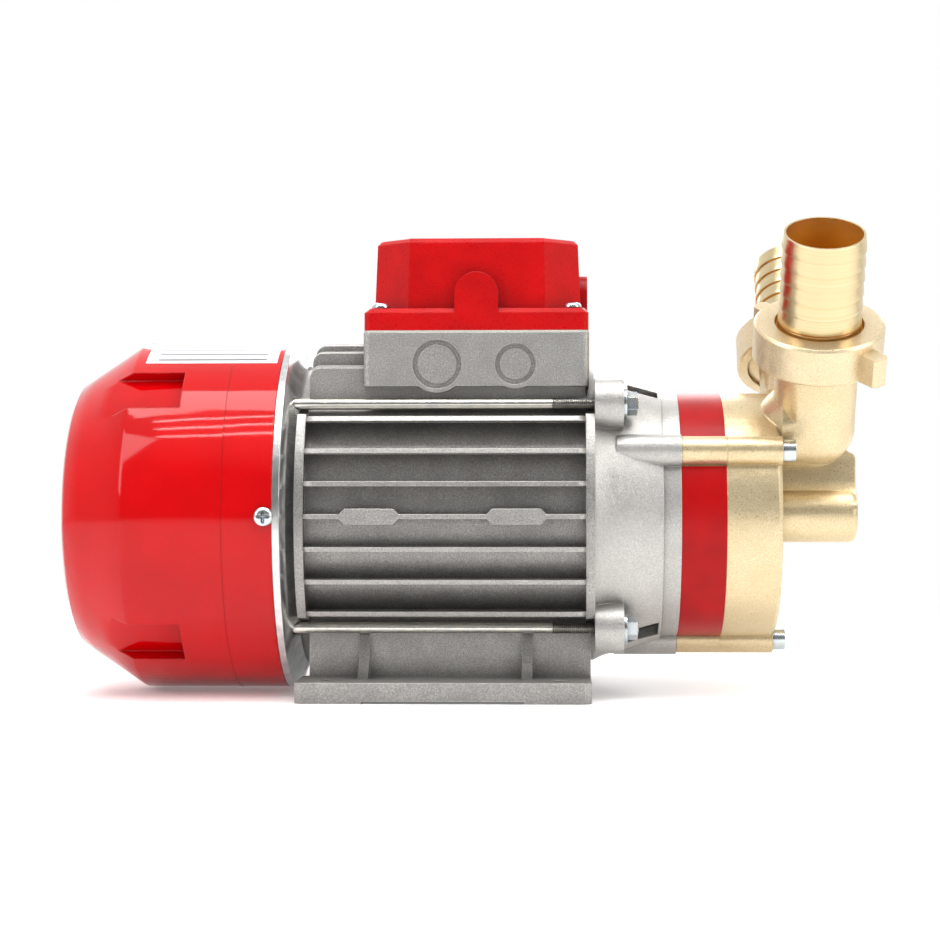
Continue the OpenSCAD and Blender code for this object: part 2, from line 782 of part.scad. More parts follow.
module fan_cowl() color(red) on_shaft() difference() {
    turned([[x_cowl0, 0], [x_cowl0, shield_r], [x_shoulder, shield_r],
        [x_shoulder - cowl_edge, shield_r - cowl_edge / 2], [x_cowl1 + cowl_edge, cone_r + cowl_edge],
        [x_cowl1, cone_r - cowl_edge], [x_cowl1, 0]]);
    cowl_pockets(0);
    difference() {
        turned([[x_cowl0 + over, 0], [x_cowl0 + over, cowl_in_r], [x_shoulder, cowl_in_r],
            [x_cowl1 + cowl_wall + cowl_edge, cone_r - cowl_edge / 2],
            [x_cowl1 + cowl_wall, cone_r - cowl_wall - cowl_edge], [x_cowl1 + cowl_wall, 0]]);
        cowl_pockets(cowl_wall);
    }
    grille_slots();
    at_cowl_screws() translate([0, 0, rear_step_r])
        cylinder(h = shield_r, r = cowl_screw_r + 4 * fit, $fn = round_fn);
}

module cowl_screws() color(zinc) on_shaft() at_cowl_screws() {
    translate([0, 0, shield_r + fit]) pan_head(cowl_head_r, cowl_head_h);
    translate([0, 0, rear_step_r]) cylinder(h = shield_r - rear_step_r + 2 * fit, r = cowl_screw_r, $fn = round_fn);
}

// Tie rods and their flange nuts

x_lug = x_front + lug_len;
x_rod_end = x_lug + nut_h + shaft_gap / 2;

module tie_rods() color(zinc) on_shaft() at_rods() {
    bar(x_shield_back - rod_head_h, x_shield_back, hex_af / sqrt(3), 6);
    bar(x_shield_back - slice, x_rod_end - rod_thread_len, rod_r);
    bar(x_rod_end - rod_thread_len, x_rod_end, rod_thread_r);
}

module tie_rod_nuts() color(zinc) on_shaft() at_rods() difference() {
    union() {
        bar(x_lug, x_lug + nut_flange_t, nut_flange_r);
        bar(x_lug + nut_flange_t - slice, x_lug + nut_h, hex_af / sqrt(3), 6);
    }
    bar(x_lug - over, x_lug + nut_h + over, rod_thread_r + fit);
}

// Front bracket: bearing hub and web on the motor side, open lantern on the pump side

x_cone0 = x_front + cone_start;
x_cone1 = x_pump - flange_w;
x_bracket_web = x_front + bracket_web;

module bracket_body() turned([
    [x_front - spigot_len, end_space_r], [x_front - spigot_len, spigot_r], [x_front, spigot_r],
    [x_front, rim_core_r], [x_front + rim_w, rim_core_r - rim_w / 2], [x_cone0, lantern_r0],
    [x_cone1, lantern_r1], [x_cone1, pump_r], [x_pump, pump_r],
    [x_pump, spigot_body_r + fit], [x_pump - spigot_body_len - fit, spigot_body_r + fit],
    [x_pump - spigot_body_len - fit, spigot_body_r - lantern_wall / 2],
    [x_cone1, lantern_r1 - lantern_wall], [x_cone0, lantern_r0 - lantern_wall],
    [x_bracket_web + shaft_gap, lantern_r0 - lantern_wall], [x_bracket_web, lantern_r0 - 2 * lantern_wall],
    [x_bracket_web, bracket_hub_r + shaft_gap], [x_bracket_hub, bracket_hub_r], [x_bracket_hub, journal_r + shaft_gap],
    [x_front_lip, journal_r + shaft_gap], [x_front_lip, bearing_r + fit], [x_front - shaft_gap, bearing_r + fit],
    [x_front - shaft_gap, bracket_hub_r], [x_front, bracket_hub_r + shaft_gap], [x_front, end_space_r]]);

lug_arm_share = 0.7;
boss_foot_shares = [0.8, 0.9];

module bracket_lugs() at_rods() bar(x_front, x_lug, lug_r);

module lug_arms() for (y = [-1, 1], z = [-1, 1])
    rotate([atan2(z, y), 0, 0]) translate([x_front, lantern_r0 - lantern_wall, -lug_arm_share * lug_r])
        cube([lug_len, rod_ring_r - lantern_r0 + lantern_wall, 2 * lug_arm_share * lug_r]);

module bracket_bosses() at_bosses() {
    bar(x_pump - bracket_boss_len, x_pump, bracket_boss_r);
    translate([x_pump - bracket_boss_len * boss_foot_shares[0], -bracket_boss_r, -bracket_boss_r * boss_foot_shares[1]])
        cube([bracket_boss_len * boss_foot_shares[0], bracket_boss_r, 2 * bracket_boss_r * boss_foot_shares[1]]);
}

// Angle of each window and its width
windows = [[90 - window_top_turn, window_top_w], [90 + window_top_turn, window_top_w],
    [270 - window_turn, window_w], [270 + window_turn, window_w]];

module bracket_windows() for (w = windows) rotate([w[0], 0, 0])
    translate([x_cone1 - window_len - shaft_gap, lantern_r1 - 2 * lantern_wall, -w[1] / 2])
        cube([window_len, 3 * lantern_wall, w[1]]);

module front_bracket() color(aluminium) on_shaft() difference() {
    union() {
        bracket_body();
        bracket_lugs();
        difference() {
            union() {
                lug_arms();
                bracket_bosses();
            }
            turned([[x_front - over, 0], [x_front - over, lantern_r0 - lantern_wall], [x_cone0, lantern_r0 - lantern_wall],
                [x_cone1, lantern_r1 - lantern_wall], [x_pump - spigot_body_len, spigot_body_r - lantern_wall / 2],
                [x_pump - spigot_body_len, spigot_body_r + fit], [x_pump + over, spigot_body_r + fit], [x_pump + over, 0]]);
        }
    }
    at_rods() bar(x_front - over, x_lug + over, rod_thread_r + fit);
    at_bosses() bar(x_face - pump_bolt_len - shaft_gap, x_pump + over, bolt_hole_r);
    bracket_windows();
}

// Stator: slotted core and one winding with its end turns

slot_in_r = rotor_r + air_gap + 2 * shaft_gap;
slot_share = 0.5;
slot_out_r = slot_in_r + (stator_r - slot_in_r) * slot_share;
slot_half = 360 / stator_slots * slot_share / 2;
wire_gap = 0.15;
end_turn_shares = [0.3, 0.7, 0.8];
x_stack0 = house_shift - stack_len / 2;
x_stack1 = house_shift + stack_len / 2;

module slot_outline(gap) for (i = [0:stator_slots - 1]) rotate(i * 360 / stator_slots)
    polygon([[slot_in_r + gap, -slot_in_r * sin(slot_half) + gap], [slot_out_r - gap, -slot_out_r * sin(slot_half) + gap],
        [slot_out_r - gap, slot_out_r * sin(slot_half) - gap], [slot_in_r + gap, slot_in_r * sin(slot_half) - gap]]);

module stator_core() color(steel) on_shaft() difference() {
    ring(x_stack0, x_stack1, rotor_r + air_gap, stator_r);
    along(x_stack0 - over, x_stack1 + over) slot_outline(0);
}

module stator_windings() color(copper) on_shaft() {
    along(x_stack0 - shaft_gap, x_stack1 + shaft_gap) slot_outline(wire_gap);
    for (side = [-1, 1]) translate([house_shift, 0, 0]) mirror([side < 0 ? 1 : 0, 0, 0])
        turned([[stack_len / 2 + air_gap, slot_in_r + shaft_gap], [stack_len / 2 + air_gap, slot_out_r],
            [stack_len / 2 + end_turn_len * end_turn_shares[0], slot_out_r + 2 * shaft_gap],
            [stack_len / 2 + end_turn_len * end_turn_shares[2], slot_out_r + 2 * shaft_gap],
            [stack_len / 2 + end_turn_len, slot_out_r],
            [stack_len / 2 + end_turn_len, slot_in_r + 4 * shaft_gap],
            [stack_len / 2 + end_turn_len * end_turn_shares[1], slot_in_r + shaft_gap]]);
}

// Rotor, shaft and fan
// Shares of the rotor's radius: inside of the end ring, inside of a vane, length of a vane
cage_shares = [0.6, 0.68, 0.24];
circlip_angle = 300;

module rotor_core() color(steel) on_shaft() ring(x_stack0, x_stack1, rotor_seat_r + fit, rotor_r);

module rotor_cage() color(machined) on_shaft() for (side = [-1, 1])
    translate([house_shift, 0, 0]) mirror([side < 0 ? 1 : 0, 0, 0]) {
        ring(stack_len / 2, stack_len / 2 + end_ring_len / 2, rotor_r * cage_shares[0], rotor_r - shaft_gap);
        for (i = [0:vane_n - 1]) rotate([i * 360 / vane_n, 0, 0])
            translate([stack_len / 2 + end_ring_len / 2 - slice, rotor_r * cage_shares[1], -shaft_gap])
                cube([end_ring_len / 2 + slice, rotor_r * cage_shares[2], 2 * shaft_gap]);
    }

x_fan0 = x_hub_back - fan_gap;
x_fan1 = x_fan0 - fan_hub_len;
circlip_t = 1.2;
groove_deep = 0.4;
x_shaft0 = x_fan1 - 3 * circlip_t;
shaft_bevel = 0.8;
x_tail = x_hub_back - shaft_gap;
x_seal_step = x_bracket_hub + shaft_gap / 2;
shaft_shoulder = 3;

module motor_shaft() color(machined) on_shaft() difference() {
    turned([
        [x_shaft0, 0], [x_shaft0, tail_r - shaft_bevel], [x_shaft0 + shaft_bevel, tail_r],
        [x_fan1 - circlip_t - fit, tail_r], [x_fan1 - circlip_t - fit, tail_r - groove_deep],
        [x_fan1, tail_r - groove_deep], [x_fan1, tail_r], [x_tail, tail_r], [x_tail, journal_r],
        [x_web_rear, journal_r], [x_web_rear, journal_r + shaft_gap], [x_web_rear + shaft_shoulder, journal_r + shaft_gap],
        [x_web_rear + shaft_shoulder, rotor_seat_r], [x_front_bearing - shaft_shoulder, rotor_seat_r],
        [x_front_bearing - shaft_shoulder, journal_r + shaft_gap], [x_front_bearing, journal_r + shaft_gap],
        [x_front_bearing, journal_r], [x_seal_step, journal_r], [x_seal_step, tail_r],
        [x_impeller, tail_r], [x_impeller, impeller_seat_r],
        [x_impeller_end - shaft_bevel, impeller_seat_r], [x_impeller_end, impeller_seat_r - shaft_bevel],
        [x_impeller_end, 0]]);
    translate([x_impeller, -key_w / 2, impeller_seat_r - key_sink])
        cube([impeller_w + over, key_w, key_sink + over]);
}

module impeller_key() color(steel) on_shaft()
    translate([x_impeller + fit, -key_w / 2 + fit, impeller_seat_r - key_sink + fit])
        cube([impeller_w - shaft_gap, key_w - 2 * fit, key_h - 2 * fit]);

module cooling_fan() color("#2B2B2B") on_shaft() difference() {
    union() {
        bar(x_fan1, x_fan0, fan_hub_r);
        bar(x_fan0 - 2 * blade_t, x_fan0 - blade_t, fan_plate_r);
        for (i = [0:blade_n - 1]) rotate([i * 360 / blade_n, 0, 0])
            translate([x_fan0 - 2 * blade_t - blade_w + over, fan_hub_r - blade_t, -blade_t / 2])
                cube([blade_w, fan_r - fan_hub_r + blade_t, blade_t]);
    }
    bar(x_fan1 - over, x_fan0 + over, tail_r + fit);
}

module fan_circlip() color(steel) on_shaft() turned([
    [x_fan1 - circlip_t, tail_r - groove_deep + fit], [x_fan1 - circlip_t, tail_r + 2 * circlip_t],
    [x_fan1 - fit, tail_r + 2 * circlip_t], [x_fan1 - fit, tail_r - groove_deep + fit]], circlip_angle);

module slinger_ring() color("#202020") on_shaft()
    turned([[x_bracket_hub + shaft_gap, tail_r + fit], [x_bracket_hub + shaft_gap, seal_house_r - shaft_gap],
        [x_bracket_hub + 2 * shaft_gap, seal_house_r - shaft_gap], [x_bracket_hub + 2 * shaft_gap, tail_r + 3 * shaft_gap],
        [x_seal_house - shaft_gap / 2, tail_r + 2 * shaft_gap], [x_seal_house - shaft_gap / 2, tail_r + fit]]);

// Ball bearings

module outer_race(x) color(steel) on_shaft() difference() {
    ring(x + fit, x + bearing_w - fit, race_mid_r + race_gap, bearing_r);
    translate([x + bearing_w / 2, 0, 0]) rotate([0, 90, 0])
        rotate_extrude($fn = round_fn) translate([race_mid_r, 0]) circle(r = groove_r, $fn = 48);
}

module inner_race(x) color(machined) on_shaft() difference() {
    ring(x + fit, x + bearing_w - fit, journal_r + fit, race_mid_r - race_gap);
    translate([x + bearing_w / 2, 0, 0]) rotate([0, 90, 0])
        rotate_extrude($fn = round_fn) translate([race_mid_r, 0]) circle(r = groove_r, $fn = 48);
}

module at_balls(x) for (i = [0:ball_n - 1]) rotate([i * 360 / ball_n, 0, 0])
    translate([x + bearing_w / 2, race_mid_r, 0]) children();

module balls(x) color(machined) on_shaft() at_balls(x) sphere(r = ball_r, $fn = 48);

module ball_cage(x) color(turned_brass) on_shaft() difference() {
    ring(x + bearing_w / 2 - cage_w / 2, x + bearing_w / 2 + cage_w / 2, race_mid_r - cage_t / 2, race_mid_r + cage_t / 2);
    at_balls(x) sphere(r = pocket_r, $fn = 48);
}

module rear_bearing_outer() outer_race(x_rear_bearing);
module rear_bearing_inner() inner_race(x_rear_bearing);
module rear_bearing_balls() balls(x_rear_bearing);
module rear_bearing_cage() ball_cage(x_rear_bearing);
module front_bearing_outer() outer_race(x_front_bearing);
module front_bearing_inner() inner_race(x_front_bearing);
module front_bearing_balls() balls(x_front_bearing);
module front_bearing_cage() ball_cage(x_front_bearing);

module preload_washer() color(steel) on_shaft()
    ring(x_rear_seat + fit, x_rear_bearing - fit, race_mid_r + race_gap, bearing_r - shaft_gap / 2);

// Inside the terminal box

board_len = 48;
board_w = 28;
board_t = 5;
board_y = -19;
stud_r = 2;
stud_h = 13;
stud_nut_h = 3;
cap_r = 15;
cap_len = dome_len - 2 * dome_cut;
cap_y = dome_w / 2 - cover_wall - dome_draft - dome_bevel - cap_r;
cap_seat = 0.2;
blade_tab_h = 7;

module terminal_board() color("#3A2F28") translate([x_box_mid - board_len / 2, board_y - board_w / 2, z_floor])
    difference() {
        cube([board_len, board_w, board_t]);
        for (i = [1:2]) translate([board_len * i / 3 - shaft_gap / 2, -over, board_t - 2 * shaft_gap])
            cube([shaft_gap, board_w + 2 * over, 3 * shaft_gap]);
    }

module terminal_studs() color(turned_brass) for (i = [0:2], j = [0:1])
    translate([x_box_mid + (i - 1) * board_len / 3, board_y + (j - 0.5) * board_w / 2, z_floor + board_t]) {
        cylinder(h = stud_h, r = stud_r, $fn = 32);
        cylinder(h = stud_nut_h, r = 2 * stud_r, $fn = 6);
    }

module run_capacitor() color("#E4E4E0") translate([x_box_mid - cap_len / 2, cap_y, z_floor + cap_r + cap_seat]) {
    bar(0, cap_len - blade_tab_h, cap_r);
    for (y = [-cap_r / 2, cap_r / 2]) translate([cap_len - blade_tab_h - slice, y - stud_r, -shaft_gap / 2])
        cube([blade_tab_h, 2 * stud_r, shaft_gap]);
}

module earth_screw() color(zinc) translate([x_box_mid + board_len / 2 + 3 * stud_r, board_y, z_floor]) {
    cylinder(h = pan_head_h, r = pan_head_r, $fn = 48);
}

// Terminal box cover with its gasket and screws

module box_gasket() color("#E8E6E0") difference() {
    translate([x_box_mid, 0, z_box_top + fit]) linear_extrude(gasket_t - fit) difference() {
        polygon(round_rect(box_w - 2 * cover_inset, box_w - 2 * cover_inset, box_round));
        polygon(cut_rect(box_w - 3 * box_wall, box_w - 3 * box_wall, box_screw_in + post_r));
    }
    at_box_screws() translate([0, 0, z_box_top - over])
        cylinder(h = gasket_t + 2 * over, r = box_screw_r + 4 * fit, $fn = round_fn);
}

module rect_slab(z, inset, h) translate([x_box_mid, 0, z]) linear_extrude(h)
    polygon(round_rect(box_w - 2 * (cover_inset + inset), box_w - 2 * (cover_inset + inset), box_round));

module dome_slab(z, inset) translate([x_box_mid, 0, z]) linear_extrude(slice)
    polygon(cut_rect(dome_len - 2 * inset, dome_w - 2 * inset, dome_cut - inset * (2 - sqrt(2))));

module skirt() hull() {
    rect_slab(z_skirt, 0, skirt_h - skirt_bevel);
    rect_slab(z_ledge - slice, skirt_bevel, slice);
}

module dome() hull() {
    dome_slab(z_ledge - cover_wall, 0);
    dome_slab(z_dome - dome_bevel, dome_draft);
    dome_slab(z_dome - slice, dome_draft + dome_bevel);
}

module dome_inside() hull() {
    dome_slab(z_ledge - 2 * cover_wall, cover_wall);
    dome_slab(z_dome - dome_bevel - cover_wall, cover_wall + dome_draft);
    dome_slab(z_dome - cover_wall, cover_wall + dome_draft + dome_bevel);
}

// A round-topped tab that joins the skirt's face to the dome; reach is its depth
module tab(reach, extra) translate([0, 0, z_ledge - skirt_bevel - over]) rotate([90, 0, 0]) {
    rise = tab_h + extra - tab_w / 2 + skirt_bevel + over;
    translate([slice - tab_w / 2, 0, 0]) cube([tab_w - 2 * slice, rise, reach]);
    translate([0, rise, 0]) cylinder(h = reach, d = tab_w, $fn = round_fn);
}

tab_front_reach = (box_w - dome_w) / 2 + dome_draft - cover_inset;
tab_end_reach = (box_w - dome_len) / 2 + dome_draft - cover_inset;

module box_cover() color(red) difference() {
    union() {
        skirt();
        dome();
        translate([x_box_mid, -box_w / 2 + cover_inset + tab_front_reach, 0]) tab(tab_front_reach, 0);
        translate([x_box_mid + box_w / 2 - cover_inset, 0, 0]) rotate([0, 0, -90])
            tab(tab_end_reach, tab_end_extra);
    }
    dome_inside();
    translate([x_box_mid, 0, z_skirt - over]) linear_extrude(skirt_h - cover_wall + over)
        polygon(cut_rect(box_w - 2 * (cover_inset + cover_wall), box_w - 2 * (cover_inset + cover_wall),
            box_screw_in + post_r));
    at_box_screws() translate([0, 0, z_skirt - over])
        cylinder(h = skirt_h + 2 * over, r = box_screw_r + 4 * fit, $fn = round_fn);
}

module box_cover_screws() color(zinc) at_box_screws() {
    translate([0, 0, z_box_top - box_screw_len + 2 * over])
        cylinder(h = z_ledge - z_box_top + box_screw_len - 2 * over + 2 * fit, r = box_screw_r, $fn = round_fn);
    translate([0, 0, z_ledge + fit]) pan_head(pan_head_r, pan_head_h);
}

// Pump body: brass middle ring with the chamber, the seal housing and three bolt bosses

module pump_body() color(cast_brass) on_shaft() difference() {
    union() {
        turned([
            [x_seal_house, seal_lip_r], [x_seal_house, seal_house_r], [x_pump, seal_house_r + 2 * shaft_gap],
            [x_pump, spigot_body_r - spigot_body_wall], [x_pump - spigot_body_len, spigot_body_r - spigot_body_wall],
            [x_pump - spigot_body_len, spigot_body_r], [x_pump, spigot_body_r],
            [x_pump, body_r], [x_cover, body_r], [x_cover, chamber_r], [x_chamber, chamber_r],
            [x_chamber, seal_bore_r], [x_seat, seal_bore_r], [x_seat, seal_lip_r]]);
        difference() {
            at_bosses() bar(x_pump, x_cover, boss_r);
            bar(x_pump - over, x_cover + over, chamber_r + shaft_gap);
        }
    }
    at_bosses() bar(x_pump - over, x_cover + over, bolt_hole_r);
    ring(x_cover - o_groove, x_cover + over, o_mid_r - o_groove / 2, o_mid_r + o_groove / 2);
}

module red_strips() color(red) on_shaft() for (a = boss_angles)
    rotate([a + 60 - strip_angle / 2 + 90, 0, 0])
        turned([[x_pump + fit, body_r + fit], [x_pump + fit, pump_r], [x_cover - fit, pump_r], [x_cover - fit, body_r + fit]],
            strip_angle);

module cover_o_ring() color("#181818") on_shaft() translate([x_cover - o_groove / 2, 0, 0]) rotate([0, 90, 0])
    rotate_extrude($fn = round_fn) translate([o_mid_r, 0]) circle(r = o_ring_r, $fn = 32);

module seal_seat() color("#D8D4CC") on_shaft() ring(x_seat + fit, x_seat + seat_len, seal_lip_r, seal_bore_r - fit);

module seal_ring() color("#303030") on_shaft() ring(x_seal_ring, x_bellows, tail_r + fit, seal_ring_r);

module seal_bellows() color("#1C1C1C") on_shaft() turned(concat(
    [[x_bellows + fit, tail_r + fit]],
    [for (i = [0:fold_n * 2]) [x_bellows + fit + (x_impeller - x_bellows - 2 * fit) * i / (fold_n * 2),
        seal_ring_r - (i % 2) * fold_deep]],
    [[x_impeller - fit, tail_r + fit]]));

// Impeller: a disc with open gaps between straight blades, keyed to the shaft

module impeller_gaps() for (i = [0:impeller_n - 1]) {
    half = 180 / impeller_n * (1 - blade_share);
    root_half = 180 / impeller_n * (1 - blade_share * impeller_r / impeller_root_r);
    rotate(i * 360 / impeller_n) polygon([
        [impeller_root_r * cos(root_half), -impeller_root_r * sin(root_half)],
        [2 * impeller_r * cos(half), -2 * impeller_r * sin(half)], [2 * impeller_r * cos(half), 2 * impeller_r * sin(half)],
        [impeller_root_r * cos(root_half), impeller_root_r * sin(root_half)]]);
}

module impeller() color(turned_brass) on_shaft() difference() {
    bar(x_impeller, x_impeller_end, impeller_r);
    bar(x_impeller - over, x_impeller_end + over, impeller_seat_r + fit);
    along(x_impeller - over, x_impeller_end + over) impeller_gaps();
    translate([x_impeller - over, -key_w / 2, 0]) cube([impeller_w + 2 * over, key_w, impeller_seat_r + key_h - key_sink]);
}

// Pump cover: thick disc, hub and two leaning ports in one brass casting

module port_outside(side) on_port(side) {
    lathe([[elbow_t, 0], [elbow_t, port_r], [thread_t - flare_len, port_r], [thread_t, port_thread_r],
        [port_end_t, port_thread_r], [port_end_t, 0]]);
    translate([0, 0, elbow_t]) sphere(r = port_r + elbow_bulge, $fn = round_fn);
    translate([0, 0, elbow_t]) rotate([0, 90, 0]) lathe([
        [-port_fwd - root_len, 0], [-port_fwd - root_len, port_r * root_share],
        [-port_fwd - root_len / 2, port_r * (1 + root_share) / 2],
        [-port_fwd + cover_bevel / 2, port_r - leg_slim], [0, port_r - leg_slim], [0, 0]]);
}

module port_inside(side) on_port(side) {
    translate([0, 0, port_hole_t]) cylinder(h = port_end_t, r = port_bore_r, $fn = round_fn);
    translate([-port_fwd - cover_len - over, 0, port_hole_t + port_hole_r + port_hole_step]) rotate([0, 90, 0])
        cylinder(h = port_fwd + cover_len, r = port_hole_r, $fn = round_fn);
}

// The hub: two round ends with a rounded front edge, and a slightly slimmer middle
function hub_side(r) = concat([[x_face - over, r]],
    [for (i = [0:3]) [x_hub_front - hub_round * (1 - sin(i * 30)), r - hub_round * (1 - cos(i * 30))]]);

module hub() {
    for (y = [-hub_span / 2, hub_span / 2]) translate([0, y, 0])
        turned(concat([[x_face - over, 0]], hub_side(hub_r), [[x_hub_front, 0]]));
    side = hub_side(hub_r - leg_slim);
    translate([0, hub_span / 2, 0]) rotate([90, 0, 0]) linear_extrude(hub_span)
        polygon(concat([for (p = side) [p[0], -p[1]]], [for (i = [len(side) - 1:-1:0]) side[i]]));
}

// Half of the neck's outline across the shaft, hollowed where it meets the hub
neck_shares = [[0.93, 0], [0.93, 0.36], [0.7, 0.58], [0.45, 0.9], [0.32, 1.35]];
neck_side = concat([for (p = neck_shares) [hub_span / 2 + hub_r * p[0], hub_r * p[1]]],
    [[neck_w / 2, 2 * hub_r], [neck_w / 2, elbow_t]]);

module neck() intersection() {
    along(x_face - over, x_hub_front - leg_slim)
        polygon(concat(neck_side, [for (i = [len(neck_side) - 1:-1:0]) [-neck_side[i][0], neck_side[i][1]]]));
    rotate([90, 0, 0]) translate([0, 0, -pump_r]) linear_extrude(2 * pump_r) polygon(concat(
        [[x_face - over, 0], [x_hub_front - leg_slim, 0]],
        [for (i = [0:3]) [x_hub_front - leg_slim - hub_round * (1 - cos(i * 30)), neck_h - hub_round * (1 - sin(i * 30))]],
        [[x_port, elbow_t * cos(port_tilt)], [x_face - over, elbow_t * cos(port_tilt)]]));
}

module cover_disc() {
    turned([[x_cover, 0], [x_cover, pump_r], [x_face - cover_bevel, pump_r], [x_face, pump_r - cover_bevel], [x_face, 0]]);
    at_bosses() bar(x_cover, x_face, boss_r);
}

module pump_cover() color(cast_brass) difference() {
    union() {
        on_shaft() {
            cover_disc();
            hub();
            neck();
        }
        for (side = [-1, 1]) port_outside(side);
    }
    for (side = [-1, 1]) port_inside(side);
    on_shaft() {
        at_bosses() bar(x_cover - over, x_face + over, bolt_hole_r);
        rotate([90 + (360 - channel_angle) / 2 + 90, 0, 0]) turned([
            [x_cover - over, impeller_r - channel_w], [x_cover - over, impeller_r],
            [x_cover + channel_deep, impeller_r - shaft_gap], [x_cover + channel_deep, impeller_r - channel_w + shaft_gap]],
            channel_angle);
    }
}

module pump_bolts() color(zinc) on_shaft() at_bosses() difference() {
    union() {
        bar(x_face - pump_bolt_len, x_face + slice, pump_bolt_r);
        bar(x_face + fit, x_face + bolt_head_h, bolt_head_r);
    }
    bar(x_face + bolt_head_h / 2, x_face + bolt_head_h + over, bolt_head_r / 2, 6);
}

// Union nuts, hose tails and their gaskets

module union_nut(side, wing_angle) color(cast_brass) on_port(side) difference() {
    union() {
        lathe([[union_t0, 0], [union_t0, union_r - shaft_gap / 2], [union_t0 + shaft_gap / 2, union_r],
            [union_t0 + union_h - shaft_gap, union_r], [union_t0 + union_h, union_r - shaft_gap],
            [union_t0 + union_h, 0]]);
        for (a = [wing_angle, wing_angle + 180]) rotate([0, 0, a])
            translate([union_r - lug_out / 2, 0, union_t0])
                linear_extrude(wing_h) translate([lug_out * 0.75, 0])
                    polygon(cut_rect(lug_out * 1.5, wing_w, wing_w / 5));
    }
    translate([0, 0, union_t0 - over])
        cylinder(h = union_h - union_rim + over, r = port_thread_r + nut_thread_clear, $fn = round_fn);
    translate([0, 0, union_t0]) cylinder(h = union_h + over, r = union_hole_r, $fn = round_fn);
}

module hose_tail(side) color(turned_brass) on_port(side) lathe(concat(
    [[tail_t0, tail_bore_r], [tail_t0, tail_flange_r], [tail_t0 + tail_flange_t, tail_flange_r],
        [tail_t0 + tail_flange_t, barb_r], [barb_t0 - over, barb_r], [barb_t0 - over, barb_foot_r]],
    [for (i = [0:barb_n - 1], s = [0:2]) [
        barb_t0 + i * barb_pitch + (s == 0 ? 0 : s == 1 ? barb_land : barb_pitch),
        s == 2 ? barb_foot_r : barb_r]],
    [[tail_t1, tail_bore_r]]));

module port_gasket(side) color("#202020") on_port(side) translate([0, 0, port_end_t])
    difference() {
        cylinder(h = tail_gasket_t, r = tail_flange_r, $fn = round_fn);
        translate([0, 0, -over]) cylinder(h = tail_gasket_t + 2 * over, r = port_bore_r + shaft_gap, $fn = round_fn);
    }

module near_union_nut() union_nut(1, near_wing_angle);
module far_union_nut() union_nut(-1, far_wing_angle);
module near_hose_tail() hose_tail(1);
module far_hose_tail() hose_tail(-1);
module near_port_gasket() port_gasket(1);
module far_port_gasket() port_gasket(-1);

motor_housing();
rear_endshield();
fan_cowl();
cowl_screws();
tie_rods();
tie_rod_nuts();
front_bracket();
stator_core();
stator_windings();
rotor_core();
rotor_cage();
motor_shaft();
rear_bearing_outer();
rear_bearing_inner();
rear_bearing_balls();
rear_bearing_cage();
front_bearing_outer();
front_bearing_inner();
front_bearing_balls();
front_bearing_cage();
preload_washer();
cooling_fan();
fan_circlip();
slinger_ring();
terminal_board();
terminal_studs();
run_capacitor();
earth_screw();
box_gasket();
box_cover();
box_cover_screws();
pump_body();
red_strips();
seal_seat();
seal_ring();
seal_bellows();
impeller();
impeller_key();
cover_o_ring();
pump_cover();
pump_bolts();
near_port_gasket();
near_hose_tail();
near_union_nut();
far_port_gasket();
far_hose_tail();
far_union_nut();
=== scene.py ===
import json
import math

import bmesh
import bpy
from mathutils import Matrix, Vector

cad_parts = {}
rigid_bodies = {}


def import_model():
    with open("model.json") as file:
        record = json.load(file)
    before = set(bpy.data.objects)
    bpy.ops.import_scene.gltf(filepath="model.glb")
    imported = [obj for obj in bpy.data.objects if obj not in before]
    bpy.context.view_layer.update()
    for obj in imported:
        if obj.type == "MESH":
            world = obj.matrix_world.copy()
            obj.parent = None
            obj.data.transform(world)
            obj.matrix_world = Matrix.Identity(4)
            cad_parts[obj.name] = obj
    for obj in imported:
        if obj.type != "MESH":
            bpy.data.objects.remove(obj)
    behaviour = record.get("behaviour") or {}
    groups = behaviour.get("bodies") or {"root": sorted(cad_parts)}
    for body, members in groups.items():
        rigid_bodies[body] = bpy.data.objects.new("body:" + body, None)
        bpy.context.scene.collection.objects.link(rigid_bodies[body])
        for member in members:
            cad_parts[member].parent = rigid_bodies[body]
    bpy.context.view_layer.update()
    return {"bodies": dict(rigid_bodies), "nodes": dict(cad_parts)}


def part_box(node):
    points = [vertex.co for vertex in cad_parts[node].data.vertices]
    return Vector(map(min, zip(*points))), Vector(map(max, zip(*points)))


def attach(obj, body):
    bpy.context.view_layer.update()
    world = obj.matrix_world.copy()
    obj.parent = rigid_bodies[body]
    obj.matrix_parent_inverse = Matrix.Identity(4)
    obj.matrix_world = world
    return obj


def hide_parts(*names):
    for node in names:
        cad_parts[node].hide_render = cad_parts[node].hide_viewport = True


scene = bpy.context.scene
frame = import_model()

# ---------------------------------------------------------------------------
# The shot: the pump stands on a white sweep and is seen square on from its
# side through a long lens. The sweep is matt white board with no far edge.

camera = bpy.data.objects.new("camera", bpy.data.cameras.new("camera"))
scene.collection.objects.link(camera)
camera.location = (0.0424765, -0.9198956, 0.0815599)
camera.rotation_euler = [math.radians(a) for a in (90.47555, 0.04011, 2.14896)]
camera.data.lens = 86.35
camera.data.sensor_width = 36
camera.data.clip_start = 0.01
scene.camera = camera
scene.view_settings.view_transform = "Standard"


def paint(code):
    """The linear colour of an sRGB hex value"""
    parts = [int(code[i:i + 2], 16) / 255 for i in (1, 3, 5)]
    return [p / 12.92 if p < 0.04045 else ((p + 0.055) / 1.055) ** 2.4 for p in parts] + [1]


